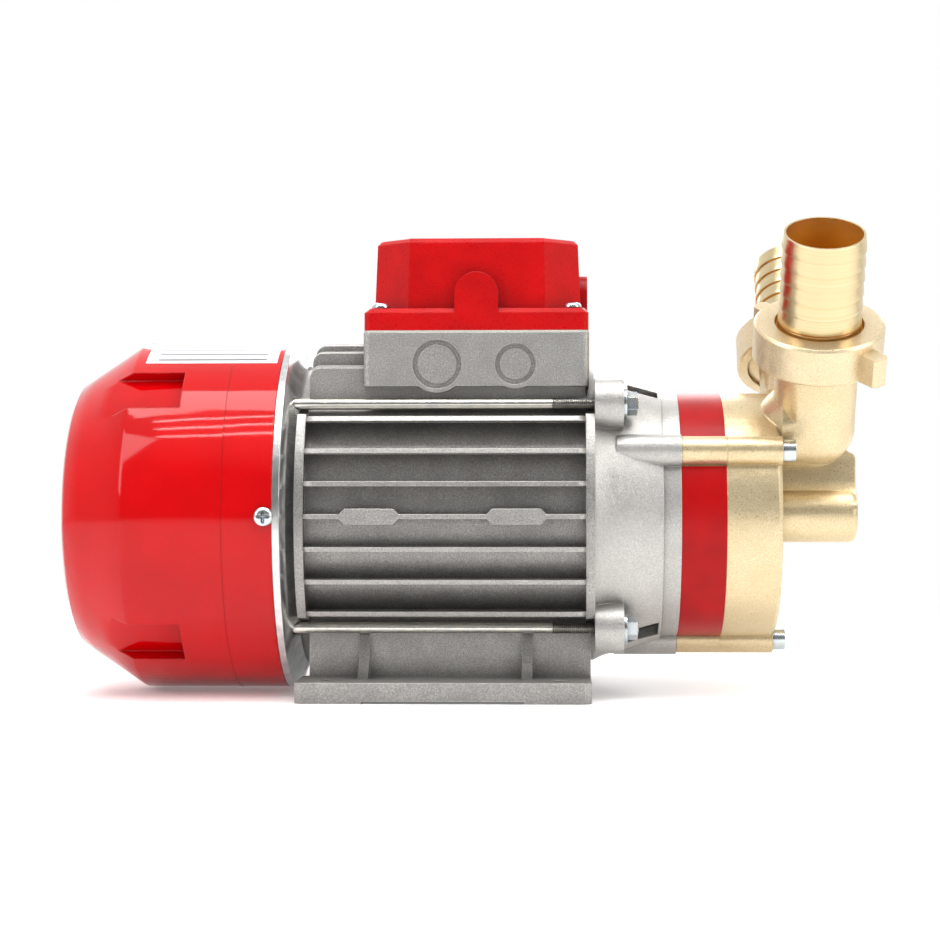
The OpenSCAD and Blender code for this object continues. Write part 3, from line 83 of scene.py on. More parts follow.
def put(tree, kind, links=None, **settings):
    """Adds one node to a tree, with its settings, and its inputs as values or as other nodes' outputs"""
    made = tree.nodes.new(kind)
    for name, value in settings.items():
        setattr(made, name, value)
    for name, value in (links or {}).items():
        if isinstance(value, bpy.types.NodeSocket):
            tree.links.new(value, made.inputs[name])
        else:
            made.inputs[name].default_value = value
    return made


def calc(tree, how, *values):
    """One step of arithmetic on numbers or fields"""
    return put(tree, "ShaderNodeMath", dict(enumerate(values)), operation=how).outputs[0]


def studio_world():
    """A white studio: metal mirrors it dim on the camera's side, and the camera sees it plain white"""
    world = bpy.data.worlds.new("white_studio")
    world.use_nodes = True
    tree = world.node_tree
    tree.nodes.clear()
    lighting, dim, full = 0.5, 0.24, 1.0
    path = put(tree, "ShaderNodeLightPath")
    seen = calc(tree, "MAXIMUM", path.outputs["Is Camera Ray"], path.outputs["Is Transmission Ray"])
    way = put(tree, "ShaderNodeSeparateXYZ", {0: put(tree, "ShaderNodeTexCoord").outputs["Generated"]})
    # behind the pump and overhead the studio is white, and on the camera's side it is dim
    depth = put(tree, "ShaderNodeMapRange", {"Value": way.outputs["Y"], "From Min": -0.85, "From Max": 0.45,
                                             "To Min": dim, "To Max": full})
    lift = put(tree, "ShaderNodeMapRange", {"Value": way.outputs["Z"], "From Min": 0.35, "From Max": 0.85,
                                            "To Min": 0.0, "To Max": full})
    level = calc(tree, "MAXIMUM", depth.outputs[0], lift.outputs[0])
    mirrored = put(tree, "ShaderNodeBackground", {"Color": paint("#FFFFFF"), "Strength": level})
    lit = put(tree, "ShaderNodeBackground", {"Color": paint("#FFFFFF"), "Strength": lighting})
    unseen = put(tree, "ShaderNodeMixShader", {0: path.outputs["Is Glossy Ray"], 1: lit.outputs[0],
                                               2: mirrored.outputs[0]})
    white = put(tree, "ShaderNodeBackground", {"Color": paint("#FFFFFF"), "Strength": full})
    both = put(tree, "ShaderNodeMixShader", {0: seen, 1: unseen.outputs[0], 2: white.outputs[0]})
    put(tree, "ShaderNodeOutputWorld", {"Surface": both.outputs[0]})
    scene.world = world


studio_world()


def soft_box(name, place, aim, across, up, watts):
    """A rectangular lamp at place, turned to face aim. Its sides are across and up, in metres"""
    light = bpy.data.lights.new(name, "AREA")
    light.shape = "RECTANGLE"
    light.size = across
    light.size_y = up
    light.energy = watts
    lamp = bpy.data.objects.new(name, light)
    scene.collection.objects.link(lamp)
    lamp.location = place
    lamp.rotation_euler = (Vector(aim) - Vector(place)).to_track_quat("-Z", "Y").to_euler()


soft_box("overhead_box", (0.0, -0.22, 1.25), (0.0, 0.0, 0.1), 1.6, 0.36, 11)
# three narrow tubes overhead draw the thin bright lines on the cowl
TUBE_AIM, TUBE_REACH = (0.0, 0.0, 0.07), 1.2
for tube, lean in enumerate(math.radians(a) for a in (66, 60, 54)):
    hung = (0.0, -TUBE_REACH * math.cos(lean), TUBE_AIM[2] + TUBE_REACH * math.sin(lean))
    soft_box("ceiling_strip_%d" % tube, hung, TUBE_AIM, 1.4, 0.022, 1.7)
soft_box("left_box", (-1.1, -0.75, 0.75), (-0.05, 0.0, 0.08), 0.5, 0.9, 6)
soft_box("right_box", (1.15, -0.55, 0.65), (0.1, 0.0, 0.1), 0.5, 0.8, 5)
soft_box("back_box", (0.1, 1.2, 0.7), (0.0, 0.0, 0.1), 1.2, 0.6, 7)


def sweep():
    """A round white board under the pump, which fades to plain white, so that no horizon shows"""
    mesh = bpy.data.meshes.new("sweep")
    reach, corners = 3.0, 48
    turns = [2 * math.pi * i / corners for i in range(corners)]
    rim = [(reach * math.cos(a), reach * math.sin(a), 0) for a in turns]
    mesh.from_pydata(rim, [], [list(range(corners))])
    board = bpy.data.objects.new("sweep", mesh)
    scene.collection.objects.link(board)
    white = bpy.data.materials.new("white_board")
    white.use_nodes = True
    tree = white.node_tree
    tree.nodes.clear()
    path = put(tree, "ShaderNodeLightPath")
    matt = put(tree, "ShaderNodeBsdfPrincipled", {"Base Color": paint("#F4F4F4"), "Roughness": 0.5,
                                                  "Specular IOR Level": 0.3})
    glow = put(tree, "ShaderNodeEmission", {"Color": paint("#FFFFFF"), "Strength": 0.16})
    lit = put(tree, "ShaderNodeAddShader", {0: matt.outputs[0], 1: glow.outputs[0]})
    away = put(tree, "ShaderNodeVectorMath", {0: put(tree, "ShaderNodeTexCoord").outputs["Object"]},
               operation="LENGTH")
    far = put(tree, "ShaderNodeMapRange", {"Value": away.outputs["Value"], "From Min": 0.25, "From Max": 0.6})
    clean_share = calc(tree, "MULTIPLY", far.outputs[0], path.outputs["Is Camera Ray"])
    clean = put(tree, "ShaderNodeEmission", {"Color": paint("#FFFFFF"), "Strength": 1.0})
    both = put(tree, "ShaderNodeMixShader", {0: clean_share, 1: lit.outputs[0], 2: clean.outputs[0]})
    put(tree, "ShaderNodeOutputMaterial", {"Surface": both.outputs[0]})
    mesh.materials.append(white)


sweep()


# ---------------------------------------------------------------------------
# Motor housing: one pressure die casting in aluminium, shot blasted to a dull
# warm grey. Its side fins, feet and terminal box base are cast in one piece.

MM = 0.001


def material(name):
    """An empty node material, and its tree"""
    made = bpy.data.materials.new(name)
    made.use_nodes = True
    made.node_tree.nodes.clear()
    return made, made.node_tree


def ramp(tree, value, stops):
    """Turns a number into a colour through a row of (place, hex) stops"""
    made = put(tree, "ShaderNodeValToRGB", {"Fac": value})
    bar = made.color_ramp
    while len(bar.elements) < len(stops):
        bar.elements.new(0.5)
    for element, (place, code) in zip(bar.elements, stops):
        element.position = place
        element.color = paint(code)
    return made.outputs["Color"]


def grain(tree, cell_mm, detail=2.0, rough=0.5):
    """Noise whose cells are cell_mm wide"""
    spot = put(tree, "ShaderNodeTexCoord").outputs["Object"]
    scaled = put(tree, "ShaderNodeMapping", {"Vector": spot, "Scale": [1000 / cell_mm] * 3}).outputs[0]
    return put(tree, "ShaderNodeTexNoise", {"Vector": scaled, "Scale": 1.0, "Detail": detail,
                                            "Roughness": rough}).outputs["Fac"]


def blend(tree, share, a, b):
    """Mixes two colours or hex values by a share"""
    made = put(tree, "ShaderNodeMix", data_type="RGBA")
    share_in, first_colour_in, second_colour_in, colour_out = 0, 6, 7, 2
    for socket, value in ((share_in, share), (first_colour_in, a), (second_colour_in, b)):
        value = paint(value) if isinstance(value, str) else value
        if isinstance(value, bpy.types.NodeSocket):
            tree.links.new(value, made.inputs[socket])
        else:
            made.inputs[socket].default_value = value
    return made.outputs[colour_out]


def spread(tree, value, low, high, to_low=0.0, to_high=1.0):
    """Stretches a number from the range low..high to the range to_low..to_high, and clips it there"""
    return put(tree, "ShaderNodeMapRange", {"Value": value, "From Min": low, "From Max": high,
                                            "To Min": to_low, "To Max": to_high}).outputs[0]


def hollow(tree, reach_mm):
    """0 in corners that shut out the light, 1 in the open"""
    return put(tree, "ShaderNodeAmbientOcclusion", {"Distance": reach_mm * MM}, samples=6).outputs["AO"]


def rounded(tree, radius_mm):
    """The surface's direction with its edges rounded by radius_mm"""
    return put(tree, "ShaderNodeBevel", {"Radius": radius_mm * MM}, samples=4).outputs[0]


def edge_share(tree, radius_mm):
    """1 on an outer edge, 0 on a flat"""
    soft = rounded(tree, radius_mm)
    flat = put(tree, "ShaderNodeNewGeometry").outputs["Normal"]
    same = put(tree, "ShaderNodeVectorMath", {0: soft, 1: flat}, operation="DOT_PRODUCT").outputs["Value"]
    return spread(tree, same, 0.97, 0.8)


def bumps(tree, height, depth_mm, normal=None):
    """The surface's direction over a relief depth_mm deep, laid on another relief or rounding"""
    links = {"Height": height, "Distance": depth_mm * MM, "Strength": 1.0}
    if normal is not None:
        links["Normal"] = normal
    return put(tree, "ShaderNodeBump", links).outputs[0]


def surface(tree, **links):
    """Ends a material's tree with its surface, from short names for the shader's sockets"""
    names = {"color": "Base Color", "metal": "Metallic", "rough": "Roughness", "normal": "Normal",
             "specular": "Specular IOR Level"}
    made = put(tree, "ShaderNodeBsdfPrincipled", {names[k]: v for k, v in links.items()})
    put(tree, "ShaderNodeOutputMaterial", {"Surface": made.outputs[0]})


def shot_blasted_aluminium(name, dark, mid, light):
    """Die casting under fine shot: dull grey with tiny dents, painted shade in its corners, and bright on
    rubbed edges
    """
    made, tree = material(name)
    dents = grain(tree, 0.55, 3.0, 0.6)
    patches = grain(tree, 9.0, 3.0, 0.55)
    colour = ramp(tree, dents, [(0.28, dark), (0.5, mid), (0.74, light)])
    colour = blend(tree, spread(tree, patches, 0.35, 0.7, 0.0, 0.35), colour, dark)
    # painted shade: the colour darkens towards #3E3B38 where corners shut out the light
    colour = blend(tree, spread(tree, hollow(tree, 9.0), 0.25, 0.95, 0.55, 0.0), colour, "#3E3B38")
    colour = blend(tree, calc(tree, "MULTIPLY", edge_share(tree, 0.5), 0.6), colour, "#D8D4CC")
    uneven = bumps(tree, grain(tree, 5.0, 3.0), 0.22, rounded(tree, 0.5))
    surface(tree, color=colour, metal=0.7, rough=spread(tree, dents, 0.3, 0.7, 0.30, 0.50),
            normal=bumps(tree, dents, 0.08, uneven))
    return made


housing_finish = shot_blasted_aluminium("shot_blasted_housing", "#8A8885", "#ABA9A5", "#CFCDC9")


def copy_of(node, name, finish, slot, sharp=32):
    """A merged, softly shaded copy of a CAD node's mesh. It rides where the node does and stands for it"""
    cad = frame["nodes"][node]
    mesh = cad.data.copy()
    mesh.name = name
    for stray in [a.name for a in mesh.attributes if a.name == "custom_normal"]:
        mesh.attributes.remove(mesh.attributes[stray])
    work = bmesh.new()
    work.from_mesh(mesh)
    bmesh.ops.remove_doubles(work, verts=work.verts, dist=2e-6)
    bmesh.ops.recalc_face_normals(work, faces=work.faces)
    work.to_mesh(mesh)
    work.free()
    mesh.shade_smooth()
    mesh.set_sharp_from_angle(angle=math.radians(sharp))
    return settle(mesh, name, node_body(node), finish, slot, node)


def node_body(node):
    """The body that carries a CAD node"""
    return next(body for body, empty in frame["bodies"].items() if frame["nodes"][node].parent == empty)


def settle(mesh, name, body, finish, slot, *nodes):
    """Puts a finished mesh in the scene on its body, with its material and what it stands for"""
    mesh.materials.clear()
    mesh.materials.append(finish)
    piece = bpy.data.objects.new(name, mesh)
    scene.collection.objects.link(piece)
    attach(piece, body)
    if nodes:
        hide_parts(*nodes)
    return piece


copy_of("motor_housing", "housing_casting", housing_finish, "cast_aluminium")


# ---------------------------------------------------------------------------
# Rear endshield: an aluminium disc turned on a lathe. Only its bright rim
# shows, between the housing and the red cowl.

def rings(tree, apart_mm):
    """Even dark and pale rings round the shaft, apart_mm from one to the next"""
    spot = put(tree, "ShaderNodeSeparateXYZ", {0: put(tree, "ShaderNodeTexCoord").outputs["Object"]})
    line = put(tree, "ShaderNodeCombineXYZ", {"X": spot.outputs["X"], "Y": 0.0, "Z": 0.0}).outputs[0]
    # a wave texture at scale 1 repeats every 2 pi / 20
    scale = 2 * math.pi / 20 / apart_mm * 1000
    return put(tree, "ShaderNodeTexWave", {"Vector": line, "Scale": scale, "Distortion": 0.0},
               bands_direction="X").outputs["Fac"]


def turned_aluminium():
    """Aluminium faced on a lathe: bright, with fine rings round the shaft that stretch each highlight"""
    made, tree = material("turned_aluminium")
    # tool marks 0.35 mm apart, coarser than the real 0.1 mm so that they show
    marks = rings(tree, 0.35)
    colour = blend(tree, spread(tree, grain(tree, 4.0), 0.3, 0.7), "#C9CACC", "#E3E3E2")
    surface(tree, color=colour, metal=1.0, rough=0.24, normal=bumps(tree, marks, 0.01, rounded(tree, 0.3)))
    return made


bright_finish = turned_aluminium()
copy_of("rear_endshield", "endshield_disc", bright_finish, "machined_aluminium")


# ---------------------------------------------------------------------------
# Fan cowl: injection moulded ABS in gloss red, pressed over the endshield and
# held by three screws. Its cone ends in a grille that the fan draws through.

def gloss_abs(name, base, deep, rough):
    """Moulded ABS from a polished tool: clear highlights that waver a little where the wall has sunk, and
    painted shade in its corners
    """
    made, tree = material(name)
    sink = grain(tree, 24.0, 1.0, 0.4)
    fine = grain(tree, 1.2, 2.0, 0.5)
    colour = blend(tree, spread(tree, sink, 0.35, 0.7), base, deep)
    # painted shade: the red darkens towards #5A0206 where corners shut out the light
    colour = blend(tree, spread(tree, hollow(tree, 8.0), 0.3, 1.0, 0.35, 0.0), colour, "#5A0206")
    waver = bumps(tree, sink, 0.2, rounded(tree, 0.9))
    surface(tree, color=colour, metal=0.0, rough=rough, specular=0.32, normal=bumps(tree, fine, 0.003, waver))
    return made


gloss_red = gloss_abs("gloss_red_abs", "#C40005", "#B80004", 0.06)
copy_of("fan_cowl", "cowl_moulding", gloss_red, "red_plastic", 40)

SHAFT_Z = 71.0 * MM
COWL_R = 70.0 * MM


def round_cowl(x_mm, turn_deg, lift_mm):
    """A point over the cowl: along the shaft, round it from the top towards the camera, and above its skin"""
    reach, turn = COWL_R + lift_mm * MM, math.radians(turn_deg)
    return x_mm * MM, -reach * math.sin(turn), SHAFT_Z + reach * math.cos(turn)


def patch(name, x, turn, lift, columns, rows):
    """A closed sheet on the cowl. x and lift are in mm and turn in degrees, each a pair of from and to"""
    mesh = bpy.data.meshes.new(name)
    work = bmesh.new()

    def between(pair, step, steps):
        return pair[0] + (pair[1] - pair[0]) * step / steps

    layers = [[[work.verts.new(round_cowl(between(x, i, columns), between(turn, j, rows), above))
                for j in range(rows + 1)] for i in range(columns + 1)] for above in lift]
    for layer in layers:
        for i in range(columns):
            for j in range(rows):
                work.faces.new((layer[i][j], layer[i + 1][j], layer[i + 1][j + 1], layer[i][j + 1]))
    rim = [(i, 0) for i in range(columns)] + [(columns, j) for j in range(rows)]
    rim += [(i, rows) for i in range(columns, 0, -1)] + [(0, j) for j in range(rows, 0, -1)]
    for (a, b), (c, d) in zip(rim, rim[1:] + rim[:1]):
        work.faces.new((layers[0][a][b], layers[0][c][d], layers[1][c][d], layers[1][a][b]))
    bmesh.ops.recalc_face_normals(work, faces=work.faces)
    work.to_mesh(mesh)
    work.free()
    mesh.shade_smooth()
    mesh.set_sharp_from_angle(angle=math.radians(35))
    return mesh


RULES_APART, RULE_WIDTH = 4.8 * MM, 1.0 * MM
RULES_MIDDLE_X, RULES_LENGTH = -92.5 * MM, 43.0 * MM


def label_foil():
    """Printed polyester foil: a pale satin silver sheet with plain ruled lines and a bare margin"""
    made, tree = material("printed_label_foil")
    spot = put(tree, "ShaderNodeSeparateXYZ", {0: put(tree, "ShaderNodeTexCoord").outputs["Object"]})
    from_rule = calc(tree, "PINGPONG", spot.outputs["Y"], RULES_APART / 2)
    on_rule = calc(tree, "LESS_THAN", from_rule, RULE_WIDTH / 2)
    from_middle = calc(tree, "ABSOLUTE", calc(tree, "ADD", spot.outputs["X"], -RULES_MIDDLE_X))
    in_margins = calc(tree, "LESS_THAN", from_middle, RULES_LENGTH / 2)
    ink = calc(tree, "MULTIPLY", on_rule, in_margins)
    colour = blend(tree, ink, blend(tree, grain(tree, 3.0), "#DEDFE2", "#F0F0F1"), "#3A3B40")
    surface(tree, color=colour, metal=0.0, rough=0.3, specular=0.5)
    return made


label_sheet = patch("rating_label", x=(-118.6, -66.6), turn=(-30, 31), lift=(0.02, 0.14), columns=12, rows=30)
settle(label_sheet, "rating_label", "motor", label_foil(), "white_plastic")
# the tool's parting line runs round the skirt as a fine raised seam
seam_line = patch("cowl_seam", x=(-84.3, -83.9), turn=(32, 328), lift=(-0.1, 0.1), columns=1, rows=120)
settle(seam_line, "cowl_seam", "motor", gloss_red, "red_plastic")


# ---------------------------------------------------------------------------
# Cowl screws: three pan head screws with a cross recess, steel with a blue
# zinc plate. They go through the cowl's skirt into the endshield's rim.

def zinc_plate(name, cold, tint, warm):
    """Bright zinc over steel: silver, with a bloom from cold to warm, and painted shade that darkens only its
    recesses
    """
    made, tree = material(name)
    bloom = grain(tree, 3.5, 2.0, 0.5)
    colour = ramp(tree, bloom, [(0.3, cold), (0.5, tint), (0.72, warm)])
    # painted shade: the colour darkens towards #34343A where recesses shut out the light
    colour = blend(tree, spread(tree, hollow(tree, 2.0), 0.2, 0.9, 0.75, 0.0), colour, "#34343A")
    surface(tree, color=colour, metal=1.0, rough=0.2, normal=bumps(tree, bloom, 0.02, rounded(tree, 0.3)))
    return made


zinc_finish = zinc_plate("blue_zinc_plate", "#C6D2DA", "#D3DADF", "#E2E2DC")


def start_tree(name, **sizes):
    """An empty geometry tree with its points, its finish and its named sizes as inputs"""
    tree = bpy.data.node_groups.new(name, "GeometryNodeTree")
    tree.is_modifier = True
    tree.interface.new_socket("Points", in_out="INPUT", socket_type="NodeSocketGeometry")
    tree.interface.new_socket("Finish", in_out="INPUT", socket_type="NodeSocketMaterial")
    for size in sizes:
        kind = "NodeSocketInt" if isinstance(sizes[size], int) else "NodeSocketFloat"
        tree.interface.new_socket(size, in_out="INPUT", socket_type=kind)
    tree.interface.new_socket("Geometry", in_out="OUTPUT", socket_type="NodeSocketGeometry")
    return tree, tree.nodes.new("NodeGroupInput").outputs


def polar(tree, rows, columns, shape):
    """A grid rolled round its own axis. shape turns (row 0..1, turn in radians) into (radius, height)"""
    grid = put(tree, "GeometryNodeMeshGrid", {"Size X": 1.0, "Size Y": 1.0, "Vertices X": rows,
                                              "Vertices Y": columns})
    at = put(tree, "ShaderNodeSeparateXYZ", {0: put(tree, "GeometryNodeInputPosition").outputs[0]})
    along = calc(tree, "ADD", at.outputs["X"], 0.5)
    turn = calc(tree, "MULTIPLY", calc(tree, "ADD", at.outputs["Y"], 0.5), 2 * math.pi)
    radius, height = shape(along, turn)
    x = calc(tree, "MULTIPLY", radius, calc(tree, "COSINE", turn))
    y = calc(tree, "MULTIPLY", radius, calc(tree, "SINE", turn))
    place = put(tree, "ShaderNodeCombineXYZ", {"X": x, "Y": y, "Z": height})
    rolled = put(tree, "GeometryNodeSetPosition", {"Geometry": grid.outputs["Mesh"],
                                                   "Position": place.outputs[0]})
    joined = put(tree, "GeometryNodeMergeByDistance", {"Geometry": rolled.outputs[0], "Distance": 2e-6})
    return joined.outputs[0]


def inner_rows(tree, along, rows):
    """1 on every row of a rolled grid but its first and last, which close on the axis"""
    first = calc(tree, "GREATER_THAN", along, 0.5 / rows)
    return calc(tree, "MULTIPLY", first, calc(tree, "LESS_THAN", along, 1 - 0.5 / rows))


def plant(tree, inputs, shape):
    """Stands a copy of the shape on every point, turned along the point's facing, and ends the tree"""
    facing = put(tree, "GeometryNodeInputNamedAttribute", {"Name": "facing"}, data_type="FLOAT_VECTOR")
    turned = put(tree, "FunctionNodeAlignRotationToVector", {"Vector": facing.outputs[0]}, axis="Z")
    made = put(tree, "GeometryNodeInstanceOnPoints", {"Points": inputs["Points"], "Instance": shape,
                                                      "Rotation": turned.outputs[0]})
    real = put(tree, "GeometryNodeRealizeInstances", {"Geometry": made.outputs[0]})
    done = put(tree, "GeometryNodeSetMaterial", {"Geometry": real.outputs[0], "Material": inputs["Finish"]})
    put(tree, "NodeGroupOutput", {"Geometry": done.outputs[0]})


def grown(tree, name, places, finish, sharp, **sizes):
    """Runs a tree over (place, facing) points and gives the plain mesh"""
    points = bpy.data.meshes.new(name)
    points.from_pydata([place for place, facing in places], [], [])
    facing = points.attributes.new("facing", "FLOAT_VECTOR", "POINT")
    facing.data.foreach_set("vector", [v for place, way in places for v in way])
    holder = bpy.data.objects.new(name, points)
    scene.collection.objects.link(holder)
    modifier = holder.modifiers.new("shape", "NODES")
    modifier.node_group = tree
    for socket in tree.interface.items_tree:
        if socket.in_out == "INPUT" and socket.name == "Finish":
            modifier[socket.identifier] = finish
        elif socket.in_out == "INPUT" and socket.name in sizes:
            modifier[socket.identifier] = sizes[socket.name]
    graph = bpy.context.evaluated_depsgraph_get()
    mesh = bpy.data.meshes.new_from_object(holder.evaluated_get(graph))
    holder.modifiers.remove(modifier)
    bpy.data.objects.remove(holder)
    work = bmesh.new()
    work.from_mesh(mesh)
    bmesh.ops.dissolve_degenerate(work, edges=work.edges, dist=1e-7)
    bmesh.ops.recalc_face_normals(work, faces=work.faces)
    work.to_mesh(mesh)
    work.free()
    mesh.shade_smooth()
    mesh.set_sharp_from_angle(angle=math.radians(sharp))
    mesh.name = name
    return mesh


def cross_screw():
    """A pan head with a cross recess, over a plain shank that the casting hides"""
    tree, inputs = start_tree("cross_screw", Radius=1.0, Height=1.0, Shank=1.0, Length=1.0)
    head_rows, head_sides, shank_rows, shank_sides = 40, 96, 6, 24
    # the share of the rows that run from the middle out to the rim. The rest close the underside
    top_rows = 0.8
    # shares of the head's radius: half an arm's width at floor and top, and the slope at its end
    arm_floor, arm_top, end_floor, end_top = 0.10, 0.17, 0.5, 0.66
    recess_depth = 0.62

    def head(along, turn):
        inner = inner_rows(tree, along, head_rows)
        out = calc(tree, "MINIMUM", calc(tree, "MULTIPLY", along, 1 / top_rows), 1.0)
        radius = calc(tree, "MULTIPLY", calc(tree, "MULTIPLY", out, inputs["Radius"]), inner)
        crown = calc(tree, "POWER", calc(tree, "SUBTRACT", 1.0, calc(tree, "POWER", out, 4.0)), 0.5)
        x = calc(tree, "MULTIPLY", radius, calc(tree, "COSINE", turn))
        y = calc(tree, "MULTIPLY", radius, calc(tree, "SINE", turn))
        off_arm = calc(tree, "MINIMUM", calc(tree, "ABSOLUTE", x), calc(tree, "ABSOLUTE", y))
        share = calc(tree, "DIVIDE", off_arm, inputs["Radius"])
        side = spread(tree, share, arm_floor, arm_top, 1.0, 0.0)
        end = spread(tree, out, end_floor, end_top, 1.0, 0.0)
        sunk = calc(tree, "MULTIPLY", calc(tree, "MULTIPLY", side, end), recess_depth)
        height = calc(tree, "MULTIPLY", calc(tree, "SUBTRACT", crown, sunk), inputs["Height"])
        return radius, height

    def shank(along, turn):
        radius = calc(tree, "MULTIPLY", inner_rows(tree, along, shank_rows), inputs["Shank"])
        # the first and last fifth of the rows close the shank's two ends
        down = calc(tree, "MULTIPLY", calc(tree, "SUBTRACT", along, 0.2), 1.7)
        down = calc(tree, "MINIMUM", calc(tree, "MAXIMUM", down, 0.0), 1.0)
        return radius, calc(tree, "MULTIPLY", calc(tree, "MULTIPLY", down, -1.0), inputs["Length"])

    both = put(tree, "GeometryNodeJoinGeometry")
    for part in (polar(tree, head_rows, head_sides, head), polar(tree, shank_rows, shank_sides, shank)):
        tree.links.new(part, both.inputs[0])
    plant(tree, inputs, both.outputs[0])
    return tree


screw_tree = cross_screw()
COWL_SCREW_X, COWL_SCREW_R = -67.8 * MM, 70.05 * MM
screw_ways = [(0, -math.sin(math.radians(a)), math.cos(math.radians(a))) for a in (90, 210, 330)]
cowl_places = [((COWL_SCREW_X, COWL_SCREW_R * way[1], SHAFT_Z + COWL_SCREW_R * way[2]), way)
               for way in screw_ways]
cowl_heads = grown(screw_tree, "cowl_screw_heads", cowl_places, zinc_finish, 40, Radius=3.85 * MM,
                   Height=2.15 * MM, Shank=1.85 * MM, Length=12.0 * MM)
settle(cowl_heads, "cowl_screw_heads", "motor", zinc_finish, "zinc_steel", "cowl_screws")


# ---------------------------------------------------------------------------
# Tie rods and nuts: four M5 rods outside the fins clamp the bracket to the
# housing. Zinc plated steel, with a rolled thread at the pump end.

rod_finish = zinc_plate("pale_zinc_plate", "#D2D2CE", "#DEDCD4", "#E8E4D8")
rods = copy_of("tie_rods", "tie_rod_set", rod_finish, "zinc_steel")
ROD_OFF, ROD_CORE_R, ROD_THREAD_LENGTH = 43.5 * MM, 2.0 * MM, 33.5 * MM
ROD_THREAD_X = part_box("tie_rods")[1][0] - ROD_THREAD_LENGTH
THREAD_ROWS, THREAD_SIDES = 340, 24
# the plain rod is slimmed to the thread's core where the sleeve covers it
for corner in rods.data.vertices:
    if corner.co.x > ROD_THREAD_X - 0.1 * MM:
        y = math.copysign(ROD_OFF, corner.co.y)
        z = SHAFT_Z + math.copysign(ROD_OFF, corner.co.z - SHAFT_Z)
        off = Vector((0, corner.co.y - y, corner.co.z - z))
        if off.length > ROD_CORE_R:
            corner.co = Vector((corner.co.x, y, z)) + off.normalized() * ROD_CORE_R


def rolled_thread():
    """A closed sleeve of ISO thread: its radius rises and falls once a pitch, shifting along with the turn"""
    tree, inputs = start_tree("rolled_thread", Radius=1.0, Depth=1.0, Length=1.0, Pitch=1.0, Rows=1)

    def ridge(along, turn):
        inner = inner_rows(tree, along, THREAD_ROWS)
        height = calc(tree, "MULTIPLY", along, inputs["Length"])
        phase = calc(tree, "ADD", calc(tree, "DIVIDE", height, inputs["Pitch"]),
                     calc(tree, "DIVIDE", turn, 2 * math.pi))
        flank = calc(tree, "PINGPONG", phase, 0.5)
        # 2 would run the flanks to a point, so a little more leaves the groove a flat floor
        share = calc(tree, "MINIMUM", calc(tree, "MULTIPLY", flank, 2.4), 1.0)
        sunk = calc(tree, "MULTIPLY", share, inputs["Depth"])
        return calc(tree, "MULTIPLY", calc(tree, "SUBTRACT", inputs["Radius"], sunk), inner), height

    plant(tree, inputs, polar(tree, inputs["Rows"], THREAD_SIDES, ridge))
    return tree


along_shaft = (1, 0, 0)
rod_places = [((ROD_THREAD_X, y, SHAFT_Z + z), along_shaft)
              for y in (-ROD_OFF, ROD_OFF) for z in (-ROD_OFF, ROD_OFF)]
thread_finish = zinc_plate("rolled_zinc_thread", "#9C9A94", "#ABA9A2", "#BAB7AE")
rod_threads = grown(rolled_thread(), "rod_threads", rod_places, thread_finish, 18, Radius=2.5 * MM,
                    Depth=0.48 * MM, Length=ROD_THREAD_LENGTH, Pitch=0.8 * MM, Rows=THREAD_ROWS)
settle(rod_threads, "rod_threads", "motor", thread_finish, "zinc_steel")
copy_of("tie_rod_nuts", "flange_nut_set", zinc_finish, "zinc_steel")


# ---------------------------------------------------------------------------
# Front bracket: a second aluminium casting, paler than the housing, with the
# bearing seat on one side and the open lantern on the other.

bracket_finish = shot_blasted_aluminium("shot_blasted_bracket", "#A9A7A3", "#C0BEBA", "#D8D6D2")
copy_of("front_bracket", "bracket_casting", bracket_finish, "cast_aluminium")


# ---------------------------------------------------------------------------
# Terminal box: the gasket sheet and the red cover over the housing's box
# base. The cover is ABS from a spark eroded tool, so its dome is satin.

def satin_abs():
    """Moulded ABS from a spark eroded tool: the same red, with a fine pebble that softens every highlight,
    and painted shade in its corners
    """
    made, tree = material("satin_red_abs")
    pebble = grain(tree, 0.7, 2.0, 0.6)
    sink = grain(tree, 14.0, 2.0, 0.5)
    colour = blend(tree, spread(tree, sink, 0.3, 0.7), "#BE0206", "#AE0105")
    # painted shade: the red darkens towards #5A0206 where corners shut out the light
    colour = blend(tree, spread(tree, hollow(tree, 6.0), 0.3, 1.0, 0.4, 0.0), colour, "#5A0206")
    surface(tree, color=colour, metal=0.0, rough=spread(tree, pebble, 0.3, 0.7, 0.24, 0.4), specular=0.22,
            normal=bumps(tree, pebble, 0.05, rounded(tree, 0.8)))
    return made


def gasket_paper():
    """Pressed fibre sheet: matt and pale, with short fibres"""
    made, tree = material("fibre_gasket_sheet")
    fibre = grain(tree, 0.6, 4.0, 0.7)
    colour = ramp(tree, fibre, [(0.3, "#A9A79F"), (0.7, "#D6D4CC")])
    surface(tree, color=colour, metal=0.0, rough=0.85, specular=0.3, normal=bumps(tree, fibre, 0.05))
    return made


satin_red = satin_abs()
copy_of("box_cover", "terminal_cover", satin_red, "red_plastic", 25)
copy_of("box_gasket", "cover_gasket", gasket_paper(), "gasket_sheet")
cover_low, cover_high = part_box("box_cover_screws")
HEAD_R, HEAD_H = 3.55 * MM, 2.0 * MM
head_foot = cover_high.z - HEAD_H
cover_places = [((x, y, head_foot), (0, 0, 1)) for x in (cover_low.x + HEAD_R, cover_high.x - HEAD_R)
                for y in (cover_low.y + HEAD_R, cover_high.y - HEAD_R)]
cover_heads = grown(screw_tree, "cover_screw_heads", cover_places, zinc_finish, 40, Radius=HEAD_R,
                    Height=HEAD_H, Shank=1.6 * MM, Length=head_foot - cover_low.z)
settle(cover_heads, "cover_screw_heads", "motor", zinc_finish, "zinc_steel", "box_cover_screws")


# ---------------------------------------------------------------------------
# Pump body: the brass ring behind the pump cover, sand cast and then blasted.
# Three bosses on its rim take the pump's bolts.

